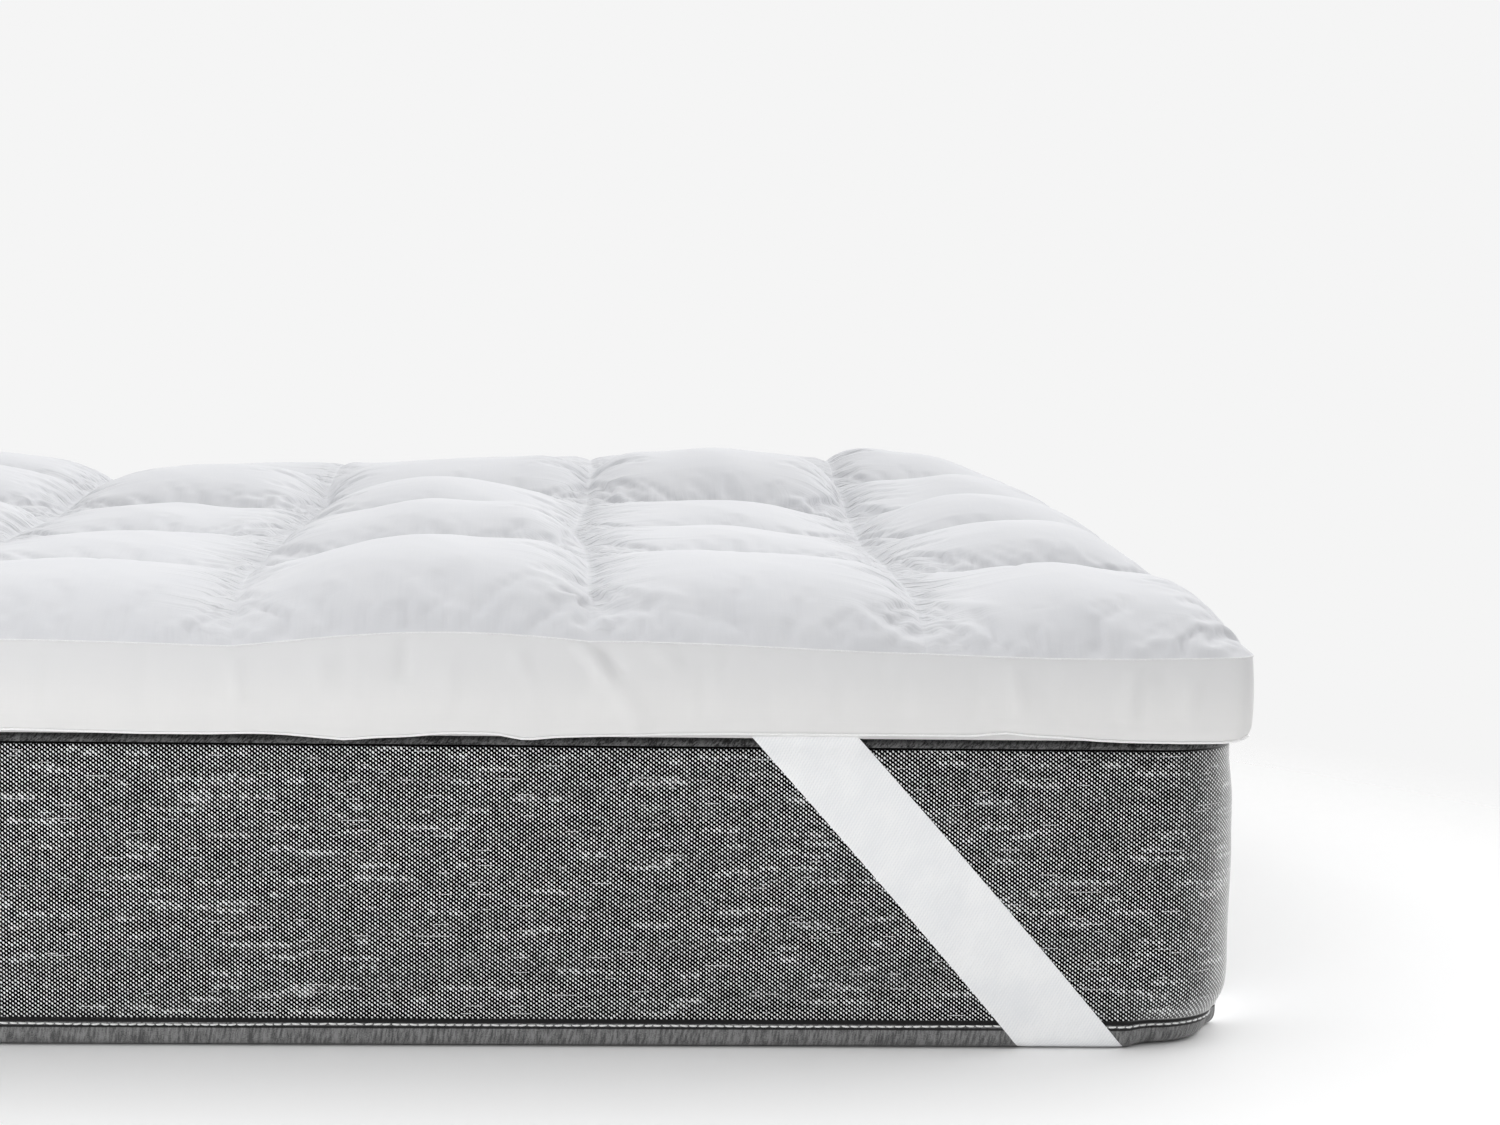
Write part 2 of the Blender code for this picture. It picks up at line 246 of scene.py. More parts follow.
def box_surface(c, r, u, v):
    """Points of box (c, r): u runs from its left seam to its right seam, v from its front seam to its back seam."""
    xl, xr = through(COLUMN_X[c], r + v), through(COLUMN_X[c + 1], r + v)
    x = xl + (xr - xl) * u
    y = ROW_SEAMS[r] + ROW_DEPTH * v
    zl, zr = column_height(c, r, v), column_height(c + 1, r, v)
    width = xr - xl
    if c == 0:
        z = zl + (zr - zl) * rise(u * width) / rise(width)
    elif c == 6:
        z = zr + (zl - zr) * rise((1 - u) * width) / rise(width)
    elif r == 0 or r == ROWS - 1:
        edge, lift, w = (0, FRONT_LIFT[c], v) if r == 0 else (ROWS, BACK_LIFT[c], 1 - v)
        inner = 1 if r == 0 else ROWS - 1
        e = CROSSING_Z[c, edge] + (CROSSING_Z[c + 1, edge] - CROSSING_Z[c, edge]) * ease(u) + lift * np.sin(np.pi * u)
        full = CROSSING_Z[c, inner] + (CROSSING_Z[c + 1, inner] - CROSSING_Z[c, inner]) * ease(u)
        z = e + (full - e) * rise(w * ROW_DEPTH) / rise(ROW_DEPTH)
        z = z + (SEAM_ARCH[c, r] * (1 - ease(u)) + SEAM_ARCH[c + 1, r] * ease(u)) * np.sin(np.pi * v)
    else:
        z = zl + (zr - zl) * ease(u)
    if c in (0, 6) and r in (0, ROWS - 1):
        lift, w = (FRONT_LIFT[c], v) if r == 0 else (BACK_LIFT[c], 1 - v)
        z = z + lift * np.sin(np.pi * u) * np.exp(-w * ROW_DEPTH / 0.05)
    heights, crown_line = CROWN[(c, r)]
    skewed = v ** (math.log(0.5) / math.log(crown_line))
    left, right = PUFF_SIDES[c]
    z = z + station_curve(heights, u) * puff(u, left + (right - left) * ease(u)) * puff(skewed)
    return x, y * np.ones_like(x), z


def tuck_corner(x, y):
    """Round the panel's square corners to CORNER_R."""
    dx, dy = np.abs(x) - (TX - CORNER_R), np.abs(y) - (TY - CORNER_R)
    inside = (dx > 0) & (dy > 0)
    scale = np.where(inside, np.maximum(dx, dy) / np.maximum(np.hypot(dx, dy), 1e-9), 1.0)
    x = np.where(inside, np.sign(x) * (TX - CORNER_R + dx * scale), x)
    y = np.where(inside, np.sign(y) * (TY - CORNER_R + dy * scale), y)
    return x, y


def planned_panel(n):
    """Top panel as a grid of points with n steps for each box: array [across, deep, xyz]."""
    out = np.zeros((7 * n + 1, ROWS * n + 1, 3))
    count = np.zeros((7 * n + 1, ROWS * n + 1, 1))
    u, v = np.meshgrid(np.linspace(0, 1, n + 1), np.linspace(0, 1, n + 1), indexing="ij")
    for c in range(7):
        for r in range(ROWS):
            p = np.stack(box_surface(c, r, u, v), -1)
            out[c * n:(c + 1) * n + 1, r * n:(r + 1) * n + 1] += p
            count[c * n:(c + 1) * n + 1, r * n:(r + 1) * n + 1] += 1
    return out / count


def rim_of(grid):
    """Points round the panel's edge, counter-clockwise seen from above, from the front-left corner."""
    nx, ny = grid.shape[0], grid.shape[1]
    index = [(i, 0) for i in range(nx)] + [(nx - 1, j) for j in range(1, ny)]
    index += [(i, ny - 1) for i in range(nx - 2, -1, -1)] + [(0, j) for j in range(ny - 2, 0, -1)]
    return index


# Lowest line of the gusset along the front: place along X and height.
FRONT_HEM = np.array([
    (-0.960, 0.2555), (-0.870, 0.2560), (-0.800, 0.2535), (-0.740, 0.2560), (-0.660, 0.2585), (-0.560, 0.2580),
    (-0.500, 0.2540), (-0.430, 0.2560), (-0.330, 0.2590), (-0.250, 0.2570), (-0.190, 0.2530), (-0.120, 0.2560),
    (-0.040, 0.2580), (0.060, 0.2560), (0.116, 0.2560), (0.151, 0.2570), (0.175, 0.2560), (0.199, 0.2540),
    (0.223, 0.2520), (0.246, 0.2540), (0.270, 0.2550), (0.306, 0.2580), (0.342, 0.2575), (0.366, 0.2530),
    (0.392, 0.2555), (0.474, 0.2580), (0.534, 0.2590), (0.655, 0.2590), (0.728, 0.2590), (0.752, 0.2615),
    (0.776, 0.2590), (0.801, 0.2580), (0.825, 0.2560), (0.849, 0.2550), (0.900, 0.2545), (0.932, 0.2550),
    (0.944, 0.2568), (0.955, 0.2590),
])


FRONT_HEM[:, 1] += 0.0012


def hem_height(x, y, along):
    """Height of the gusset's lowest line: from the table in front, uneven in the same way elsewhere."""
    front = np.interp(x, FRONT_HEM[:, 0], FRONT_HEM[:, 1])
    other = 0.2565 + 0.0022 * noise1(along / 0.11, 11) + 0.0012 * noise1(along / 0.05, 12)
    share = np.clip((-TY + 0.02 - y) / 0.02 + 1.0, 0.0, 1.0)
    return front * share + other * (1 - share)


def outward(points):
    """Unit outward directions round a closed outline in plan."""
    ahead, behind = np.roll(points, -1, 0) - points, points - np.roll(points, 1, 0)
    out = 0.0
    for d in (ahead, behind):
        d = d / np.maximum(np.linalg.norm(d, axis=1, keepdims=True), 1e-9)
        out = out + np.stack([d[:, 1], -d[:, 0]], 1)
    return out / np.maximum((out**2).sum(1, keepdims=True) / 2, 1e-9)


def planned_gusset(rim, rows):
    """Rings of points from the edge seam (row 0) down to the gusset's lowest line: array [ring, along, xyz]."""
    plan = rim[:, :2]
    out = outward(plan)
    step = np.linalg.norm(np.roll(plan, -1, 0) - plan, axis=1)
    along = np.concatenate([[0.0], np.cumsum(step)[:-1]])
    low = hem_height(plan[:, 0], plan[:, 1], along)
    rings = []
    for k in range(rows + 1):
        t = k / rows
        stand = 0.0014 * math.sin(math.pi * min(1.0, t * 1.02)) ** 0.8 if 0 < t < 1 else (0.0 if t == 0 else -0.0025)
        z = rim[:, 2] + (low - rim[:, 2]) * t
        rings.append(np.stack([plan[:, 0] + out[:, 0] * stand, plan[:, 1] + out[:, 1] * stand, z], 1))
    return np.array(rings), along


# =====================================================================================================================
# Topper: cloth simulation of the shell under the pressure of its filling
# =====================================================================================================================
SIM_STEPS_PER_BOX = 32
SIM_GUSSET_ROWS = 9
SIM_FRAMES = 22
SLACK = 0.055


def simulate_shell(panel, gusset, rim_index):
    """Blow up the sewn shell: seams stay where they are, and the slack cloth between them swells and wrinkles."""
    nx, ny = panel.shape[:2]
    n = SIM_STEPS_PER_BOX
    verts = panel.reshape(-1, 3)
    number = np.arange(nx * ny).reshape(nx, ny)
    i, j = np.meshgrid(np.arange(nx - 1), np.arange(ny - 1), indexing="ij")
    faces = np.stack([number[i, j], number[i + 1, j], number[i + 1, j + 1], number[i, j + 1]], -1).reshape(-1, 4)
    ring = np.array([number[a, b] for a, b in rim_index])
    m = len(ring)
    all_verts, all_faces, rings = [verts], [faces], [ring]
    first = nx * ny
    for k in range(1, gusset.shape[0]):
        lower = first + np.arange(m)
        upper = rings[-1]
        nxt = np.roll(np.arange(m), -1)
        all_faces.append(np.stack([lower, lower[nxt], upper[nxt], upper], 1))
        all_verts.append(gusset[k])
        rings.append(lower)
        first += m
    all_verts = np.concatenate(all_verts)

    pinned = np.zeros(len(all_verts), dtype=bool)
    pinned[number[::n, :].ravel()] = True
    pinned[number[:, ::n].ravel()] = True
    pinned[rings[-1]] = True
    start = all_verts.copy()
    start[~pinned, 2] += np.random.default_rng(5).uniform(-0.0003, 0.0003, int((~pinned).sum()))
    obj = new_mesh("cloth_shell", start, np.concatenate(all_faces))
    pin = obj.vertex_groups.new(name="pin")
    pin.add([int(k) for k in np.nonzero(pinned)[0]], 1.0, "REPLACE")

    # Slack: the boxes hold more cloth than their sewn outline needs, so it gathers along the seams. The gusset holds
    # hardly any. Weight 0 is the full slack, weight 1 none.
    slack = obj.vertex_groups.new(name="slack")
    weight = np.zeros(len(all_verts))
    for (c, r), (crown, _) in CROWN.items():
        full = float(np.clip((max(crown) - 0.012) / 0.030, 0.0, 1.0))
        weight_grid = np.full((n + 1, n + 1), 0.45 - 0.45 * full)
        weight[number[c * n:(c + 1) * n + 1, r * n:(r + 1) * n + 1].ravel()] = weight_grid.ravel()
    weight[nx * ny:] = 0.80
    for level in range(1, 11):
        members = np.nonzero(np.round(weight * 10).astype(int) == level)[0]
        if len(members):
            slack.add([int(k) for k in members], level / 10.0, "REPLACE")

    cloth = obj.modifiers.new("Cloth", "CLOTH")
    s = cloth.settings
    s.quality = 5
    s.mass = 0.001
    s.time_scale = 1.0
    s.air_damping = 1.0
    s.tension_stiffness = s.compression_stiffness = 12.0
    s.shear_stiffness = 3.0
    s.bending_stiffness = 0.004
    s.tension_damping = s.compression_damping = s.shear_damping = 1.0
    s.bending_damping = 0.1
    s.use_pressure = True
    s.uniform_pressure_force = 12.0
    s.vertex_group_mass = "pin"
    s.pin_stiffness = 1.0
    s.vertex_group_shrink = "slack"
    s.shrink_min = -SLACK
    s.shrink_max = 0.0
    s.effector_weights.gravity = 0.0
    cloth.collision_settings.use_collision = False
    cloth.collision_settings.use_self_collision = False
    cloth.point_cache.frame_start = 1
    cloth.point_cache.frame_end = SIM_FRAMES
    scene = bpy.context.scene
    scene.frame_start, scene.frame_end = 1, SIM_FRAMES
    for f in range(1, SIM_FRAMES + 1):
        scene.frame_set(f)
    graph = bpy.context.evaluated_depsgraph_get()
    evaluated = obj.evaluated_get(graph)
    mesh = evaluated.to_mesh()
    got = np.empty(len(mesh.vertices) * 3, dtype=np.float32)
    mesh.vertices.foreach_get("co", got)
    evaluated.to_mesh_clear()
    got = got.reshape(-1, 3).astype(float)
    data = obj.data
    bpy.data.objects.remove(obj, do_unlink=True)
    bpy.data.meshes.remove(data)
    scene.frame_set(1)
    panel_out = got[:nx * ny].reshape(nx, ny, 3)
    gusset_out = gusset.copy()
    for k in range(gusset.shape[0]):
        gusset_out[k] = got[rings[k]]
    return panel_out, gusset_out


# =====================================================================================================================
# Topper: finer mesh, gathers and folds
# =====================================================================================================================
FINE_U, FINE_V, FINE_G = 2, 4, 3


def spline_matrix(boxes, n, f):
    """Matrix that puts f steps in the place of every one, smooth inside a box and free to crease on its seams."""
    out = np.zeros((boxes * n * f + 1, boxes * n + 1))
    for b in range(boxes):
        for k in range(n * f + 1):
            i = min(k // f, n - 1)
            t = k / f - i
            weights = (-0.5 * t**3 + t**2 - 0.5 * t, 1.5 * t**3 - 2.5 * t**2 + 1,
                       -1.5 * t**3 + 2 * t**2 + 0.5 * t, 0.5 * t**3 - 0.5 * t**2)
            row = np.zeros(boxes * n + 1)
            for w, m in zip(weights, (i - 1, i, i + 1, i + 2)):
                if m < 0:
                    row[b * n] += 2 * w
                    row[b * n + 1] -= w
                elif m > n:
                    row[b * n + n] += 2 * w
                    row[b * n + n - 1] -= w
                else:
                    row[b * n + m] += w
            out[b * n * f + k] = row
    return out


def keep_heights(simulated, planned, n):
    """Take the slow part of the swelling out of each box again, so that its crown stays at the planned height."""
    t = np.linspace(0, 1, n + 1)
    across, deep = (np.stack([np.sin(m * np.pi * t) for m in range(1, count + 1)]) for count in (6, 4))
    base_a, base_d = np.linalg.pinv(across).T, np.linalg.pinv(deep).T      # least squares on the slowest waves
    out = simulated.copy()
    inner = np.sin(np.pi * t) ** 0.8
    calm = 1.0 - 0.60 * inner[:, None] * inner[None, :]      # the cloth is smooth away from its seams
    for c in range(7):
        for r in range(ROWS):
            cut = (slice(c * n, (c + 1) * n + 1), slice(r * n, (r + 1) * n + 1), 2)
            d = simulated[cut] - planned[cut]
            slow = across.T @ (base_a @ d @ base_d.T) @ deep
            out[cut] = planned[cut] + (d - slow) * calm
    return out


def surface_normals(grid):
    du, dv = np.gradient(grid, axis=0), np.gradient(grid, axis=1)
    n = np.cross(du, dv)
    return n / np.maximum(np.linalg.norm(n, axis=-1, keepdims=True), 1e-12)


def camera_axes():
    w, p, r = CAM_YAW, CAM_PITCH, CAM_ROLL
    ahead = np.array([math.sin(w) * math.cos(p), math.cos(w) * math.cos(p), -math.sin(p)])
    right = np.array([math.cos(w), -math.sin(w), 0.0])
    up = np.cross(right, ahead)
    return math.cos(r) * right + math.sin(r) * up, -math.sin(r) * right + math.cos(r) * up, ahead


def image_place(points):
    """Where points fall in the 1500 x 1125 picture."""
    right, up, ahead = camera_axes()
    v = points - np.array(CAM_POS)
    depth = v @ ahead
    return IMAGE_W / 2 + CAM_FOCAL_PX * (v @ right) / depth, IMAGE_H / 2 - CAM_FOCAL_PX * (v @ up) / depth


def seam_coordinates(n, fu, fv):
    """Box numbers, places in the box and distances to its four seams for every point of the fine panel."""
    gu, gv = np.arange(7 * n * fu + 1), np.arange(ROWS * n * fv + 1)
    c, r = np.minimum(gu // (n * fu), 6), np.minimum(gv // (n * fv), ROWS - 1)
    u, v = gu / (n * fu) - c, gv / (n * fv) - r
    C, R = np.meshgrid(c, r, indexing="ij")
    U, V = np.meshgrid(u, v, indexing="ij")
    return C, R, U, V


# Gathers along the sewn seams: for each column seam, how strongly the cloth is gathered on its left and right side
# (front to back rows), and which way the gathers lean.
GATHER_LEFT = np.array([
    (0.0, 0.0, 0.0, 0.0, 0.0), (0.9, 0.8, 1.0, 0.8, 0.9), (1.0, 0.9, 0.8, 1.0, 0.8), (0.9, 1.0, 0.9, 0.8, 0.9),
    (1.1, 1.0, 1.0, 1.0, 0.8), (0.65, 0.4, 0.5, 0.7, 0.7), (0.75, 0.8, 0.8, 0.8, 0.8), (0.4, 0.4, 0.4, 0.4, 0.4),
])
GATHER_RIGHT = np.array([
    (0.4, 0.4, 0.4, 0.4, 0.4), (0.9, 1.0, 0.8, 0.9, 1.0), (0.8, 1.0, 0.9, 1.0, 0.9), (1.0, 0.9, 1.0, 0.8, 0.9),
    (0.45, 0.6, 0.6, 0.5, 0.7), (1.3, 1.35, 1.3, 0.8, 0.8), (1.25, 1.3, 1.2, 1.1, 1.0), (0.0, 0.0, 0.0, 0.0, 0.0),
])


def gathers(panel, n):
    """Offsets along the surface's normal for the gathers, and the values that the cloth's fine relief and its painted
    crease shade read.
    """
    C, R, U, V = seam_coordinates(n, FINE_U, FINE_V)
    x, y = panel[..., 0], panel[..., 1]
    ROWI = R
    width = np.array([[through(COLUMN_X[c + 1], r + 0.5) - through(COLUMN_X[c], r + 0.5) for r in range(ROWS)]
                      for c in range(7)])[C, R]
    height = np.zeros_like(x)
    along_c, along_r = np.zeros_like(x), np.zeros_like(x)
    weight_c, weight_r = np.zeros_like(x), np.zeros_like(x)
    for side in (0, 1):
        d = (U if side == 0 else 1 - U) * width
        seam = C + side
        strength = (GATHER_RIGHT if side == 0 else GATHER_LEFT)[seam, ROWI]
        lean = 0.22 + 0.10 * noise1(y / 0.16 + seam * 7.3, 21 + side)
        s = y - lean * d + 0.0022 * noise2(y / 0.06, d / 0.05 + seam * 3.1, 22)
        reach = 0.017 + 0.034 * np.abs(noise1(s / 0.019 + seam * 13.7 + side * 5.1, 23)) \
            + 0.030 * np.clip(noise1(s / 0.05 + seam * 3.3, 24), 0, 1)
        strength = strength * (1 - 0.8 * (1 - ease(np.clip((y + TY - 0.015) / 0.055, 0, 1))))
        fade = np.exp(-(d / reach) ** 1.6) * (1 - np.exp(-d / 0.0035))
        wave = 0.62 * noise1(s / 0.0075 + seam * 17.9, 25 + side) + 0.50 * noise1(s / 0.0145 + seam * 5.3, 27 + side)
        height += 0.0016 * strength * fade * wave
        near = d < 0.5 * width
        along_c = np.where(near, s + seam * 0.37, along_c)
        fade = np.exp(-(d / (reach * 1.15)) ** 1.4) * (1 - ease(np.clip(d / (0.45 * width), 0, 1))) * (0.35 + 0.65 * (1 - np.exp(-d / 0.004)))
        weight_c = np.where(near, strength * fade, weight_c)
    for side in (0, 1):
        d = (V if side == 0 else 1 - V) * ROW_DEPTH
        seam = R + side
        strength = np.where((seam == 0) | (seam == ROWS), 0.30, 0.62)
        lean = 0.25 * noise1(x / 0.11 + seam * 3.9, 31 + side)
        s = x - lean * d + 0.004 * noise2(x / 0.05 + seam * 2.2, d / 0.03, 32)
        gap = noise1(s / 0.05 + seam * 9.1 + side * 4.7, 33)
        strength = strength * (0.35 + 0.9 * np.clip(gap + 0.25, 0, 1))
        reach = 0.010 + 0.024 * np.abs(noise1(s / 0.023 + seam * 11.3 + side * 2.9, 34))
        fade = np.exp(-(d / reach) ** 1.5) * (1 - np.exp(-d / 0.003))
        wave = 0.6 * noise1(s / 0.012 + seam * 7.7, 35 + side) + 0.6 * noise1(s / 0.021 + seam * 6.1, 37 + side)
        height += 0.0013 * strength * fade * wave
        near = d < 0.5 * ROW_DEPTH
        along_r = np.where(near, s + seam * 0.41, along_r)
        fade = np.exp(-(d / (reach * 1.2)) ** 1.4) * (1 - ease(np.clip(d / (0.45 * ROW_DEPTH), 0, 1))) * (0.35 + 0.65 * (1 - np.exp(-d / 0.004)))
        weight_r = np.where(near, strength * fade, weight_r)
    # Broad, shallow creases that wander over each box.
    inner = puff(U) * puff(V)
    for scale, size, seed in ((0.095, 0.0007, 41), (0.050, 0.00012, 42)):
        turned = noise2(x / scale + 0.6 * y / scale, y / scale * 0.7, seed)
        height += size * inner * (1 - 2 * np.abs(turned))
    return height, (along_c, weight_c, along_r, weight_r)


# Single folds: places in the 1500 x 1125 picture, half width in pixels, height in millimetres (negative is a
# valley), and the boxes or the gusset ("g") that they lie on.
FOLDS = [
    (((186, 617), (205, 632)), 4.0, 2.6, ((3, 0), (4, 0))),
    (((405, 600), (407, 645)), 6.5, -4.6, ((4, 0), "g")),
    (((407, 645), (402, 682)), 8.0, -3.0, ("g",)),
    (((411, 580), (420, 602), (437, 630)), 8.5, 3.6, ((4, 0),)),
    (((438, 568), (474, 612)), 14.0, -3.4, ((4, 0),)),
    (((310, 636), (327, 614), (345, 636)), 4.0, 0.6, ((4, 0),)),
    (((556, 584), (584, 601), (606, 624), (615, 637), (634, 637)), 5.5, 4.2, ((4, 0), (5, 0))),
    (((588, 590), (628, 590), (690, 598)), 5.0, 2.2, ((5, 0),)),
    (((590, 603), (655, 606)), 8.0, -5.5, ((5, 0),)),
    (((596, 626), (594, 641)), 3.0, 1.4, ((5, 0),)),
    (((650, 607), (707, 614)), 3.0, -0.9, ((5, 0),)),
    (((684, 592), (748, 640)), 13.0, -3.2, ((5, 0),)),
    (((575, 640), (595, 660), (614, 686)), 8.0, 5.5, ("g",)),
    (((597, 644), (622, 676)), 9.0, -3.0, ("g",)),
    (((612, 682), (645, 730)), 14.0, 2.8, ("g",)),
    (((514, 650), (530, 684)), 9.0, 2.4, ("g",)),
    (((231, 655), (237, 700)), 8.0, 2.6, ("g",)),
    (((651, 645), (680, 665)), 9.0, 2.4, ("g",)),
    (((318, 655), (322, 690)), 9.0, 1.6, ("g",)),
    (((452, 660), (444, 712)), 10.0, 1.6, ("g",)),
    (((1012, 662), (1022, 716)), 9.0, 2.0, ("g",)),
    (((1135, 668), (1128, 722)), 10.0, 2.0, ("g",)),
    (((1196, 676), (1186, 722)), 9.0, 1.8, ("g",)),
    (((846, 606), (897, 642), (926, 650)), 6.0, 3.4, ((5, 0),)),
    (((780, 609), (814, 642)), 8.0, 1.5, ((5, 0),)),
    (((861, 600), (923, 640)), 6.0, -3.0, ((5, 0),)),
    (((875, 592), (932, 617)), 5.0, 1.8, ((5, 0),)),
    (((928, 609), (952, 622), (990, 642)), 6.0, 3.0, ((6, 0),)),
    (((930, 603), (1000, 607)), 4.0, 1.8, ((6, 0),)),
    (((1141, 647), (1156, 659)), 3.0, 1.0, ((6, 0),)),
    (((1195, 624), (1211, 630)), 4.0, 1.0, ((6, 0),)),
    (((1039, 610), (1050, 660)), 9.0, 2.6, ((6, 0),)),
    (((1075, 596), (1104, 630), (1110, 655)), 10.0, 2.4, ((6, 0),)),
    (((1120, 600), (1150, 628)), 12.0, -2.6, ((6, 0),)),
    (((1027, 550), (1027, 564)), 3.0, 1.6, ((6, 1),)),
    (((1052, 540), (1052, 564)), 3.0, 1.6, ((6, 1),)),
    (((1066, 540), (1085, 561), (1102, 571)), 3.0, 1.8, ((6, 1),)),
    (((1133, 562), (1133, 572)), 3.0, 1.2, ((6, 1),)),
]


def fold_height(px, py, line, half_width):
    """Height of a fold along a line of picture places, 1 on the line, tapering to its ends."""
    best = np.full(px.shape, 1e9)
    where = np.zeros(px.shape)
    pts = np.array(line, dtype=float)
    lengths = np.linalg.norm(np.diff(pts, axis=0), axis=1)
    total, gone = lengths.sum(), 0.0
    for a, b, length in zip(pts[:-1], pts[1:], lengths):
        t = ((px - a[0]) * (b[0] - a[0]) + (py - a[1]) * (b[1] - a[1])) / max(length**2, 1e-9)
        t = np.clip(t, 0, 1)
        d = np.hypot(px - a[0] - (b[0] - a[0]) * t, py - a[1] - (b[1] - a[1]) * t)
        closer = d < best
        best = np.where(closer, d, best)
        where = np.where(closer, (gone + length * t) / total, where)
        gone += length
    taper = np.sin(np.pi * np.clip(where, 0.0, 1.0)) ** 0.45
    return np.exp(-(best / half_width) ** 2) * (0.15 + 0.85 * taper)


def panel_folds(panel, n):
    C, R, U, V = seam_coordinates(n, FINE_U, FINE_V)
    px, py = image_place(panel)
    out = np.zeros(px.shape)
    for line, half_width, height, places in FOLDS:
        mask = np.zeros(px.shape, dtype=bool)
        for place in places:
            if place != "g":
                mask |= (C == place[0]) & (R == place[1])
        if mask.any():
            edge = np.clip(np.minimum(V, 1 - V) * 14, 0, 1) if "g" not in places else np.clip((1 - V) * 14, 0, 1)
            out[mask] += (fold_height(px[mask], py[mask], line, half_width) * height * 0.001) * edge[mask]
    return out


def gusset_folds(rings, normals):
    px, py = image_place(rings)
    front = normals[..., 1] < -0.5
    out = np.zeros(px.shape)
    for line, half_width, height, places in FOLDS:
        if "g" in places:
            out += np.where(front, fold_height(px, py, line, half_width) * height * 0.001, 0.0)
    return out


def build_topper(materials):
    n = SIM_STEPS_PER_BOX
    panel = planned_panel(n)
    rim_index = rim_of(panel)
    gusset, _ = planned_gusset(np.array([panel[a, b] for a, b in rim_index]), SIM_GUSSET_ROWS)
    swollen, blown = simulate_shell(panel, gusset, rim_index)
    panel = keep_heights(swollen, panel, n)
    gusset = gusset + 0.25 * (blown - gusset)
    fu, fv = FINE_U, FINE_V
    mu, mv = spline_matrix(7, n, fu), spline_matrix(ROWS, n, fv)
    fine = np.einsum("ai,ijk,bj->abk", mu, panel, mv, optimize=True)
    nx, ny = panel.shape[:2]
    sides = (gusset[:, :nx], gusset[:, nx - 1:nx + ny - 1], gusset[:, nx + ny - 2:2 * nx + ny - 2],
             np.concatenate([gusset[:, 2 * nx + ny - 3:], gusset[:, :1]], 1))
    down = spline_matrix(1, SIM_GUSSET_ROWS, FINE_G)
    parts = []
    for k, side in enumerate(sides):
        m = mu if k % 2 == 0 else mv
        parts.append(np.einsum("ai,ijk,bj->abk", down, side, m, optimize=True)[:, :-1])
    band = np.concatenate(parts, 1)

    # The sewn valleys are soft: round them a little, across the seam only.
    steps_u, steps_v = n * fu, n * fv
    for _ in range(2):
        soft = fine.copy()
        for c in range(1, 7):
            i = c * steps_u
            for k in (-2, -1, 0, 1, 2):
                share = (0.5, 1.0, 1.0, 1.0, 0.5)[k + 2]
                mean = 0.25 * fine[i + k - 1, :, 2] + 0.5 * fine[i + k, :, 2] + 0.25 * fine[i + k + 1, :, 2]
                soft[i + k, :, 2] = fine[i + k, :, 2] + share * (mean - fine[i + k, :, 2])
        for r in range(1, ROWS):
            j = r * steps_v
            for k in (-2, -1, 0, 1, 2):
                share = (0.5, 1.0, 1.0, 1.0, 0.5)[k + 2]
                mean = 0.25 * fine[:, j + k - 1, 2] + 0.5 * fine[:, j + k, 2] + 0.25 * fine[:, j + k + 1, 2]
                soft[:, j + k, 2] = soft[:, j + k, 2] + share * (mean - fine[:, j + k, 2])
        fine = soft

    # Gathers and folds on the panel; none on the very edge, which the gusset shares.
    C, R, U, V = seam_coordinates(n, fu, fv)
    lift, values = gathers(fine, n)
    normals = surface_normals(fine)
    inward = np.minimum(TX - np.abs(fine[..., 0]), TY - np.abs(fine[..., 1]))
    lift = (lift + panel_folds(fine, n)) * np.clip(inward / 0.004, 0, 1)
    fine = fine + normals * lift[..., None]
    along = np.concatenate([[0.0], np.cumsum(np.linalg.norm(np.diff(band[0], axis=0), axis=1))])
    ahead = np.roll(band, -1, 1) - np.roll(band, 1, 1)
    below = np.gradient(band, axis=0)
    bn = np.cross(below, ahead)
    bn /= np.maximum(np.linalg.norm(bn, axis=-1, keepdims=True), 1e-12)
    share = np.linspace(0, 1, band.shape[0])[:, None]
    belly = np.sin(np.pi * share) ** 0.7
    wobble = 0.0010 * noise2(along[None] / 0.085 + 0.25 * share, share * 1.2 + 0 * along[None], 51) \
        + 0.00045 * noise1(along[None] / 0.020 + 0.7 * share, 52) * np.exp(-share * 4.0) \
        + 0.00035 * noise1(along[None] / 0.034 - 0.5 * share, 53) * np.exp(-(1 - share) * 5.0)
    move = wobble * belly + gusset_folds(band, bn) * np.clip(share * 9, 0, 1)
    band = band + bn * move[..., None]
    for grid in (fine, band):
        grid[..., 0], grid[..., 1] = tuck_corner(grid[..., 0], grid[..., 1])

    pieces = []
    groups = ((0, 1), (2, 3), (4, 5), (6,))
    rows = fine.shape[1]
    for k, group in enumerate(groups, 1):
        lo, hi = group[0] * n * fu, (group[-1] + 1) * n * fu + 1
        part = fine[lo:hi]
        number = np.arange(part.shape[0] * rows).reshape(part.shape[0], rows)
        a, b, c, d = number[:-1, :-1], number[1:, :-1], number[1:, 1:], number[:-1, 1:]
        faces = np.stack([a, b, c, d], -1).reshape(-1, 4)
        obj = new_mesh(f"topper_panel_{k}", part.reshape(-1, 3), faces, part[..., :2].reshape(-1, 2),
                       [materials["cotton"]])
        for name, value in zip(("gather_column", "gather_column_weight", "gather_row", "gather_row_weight"), values):
            point_values(obj, name, value[lo:hi].ravel())
        pieces.append(obj)

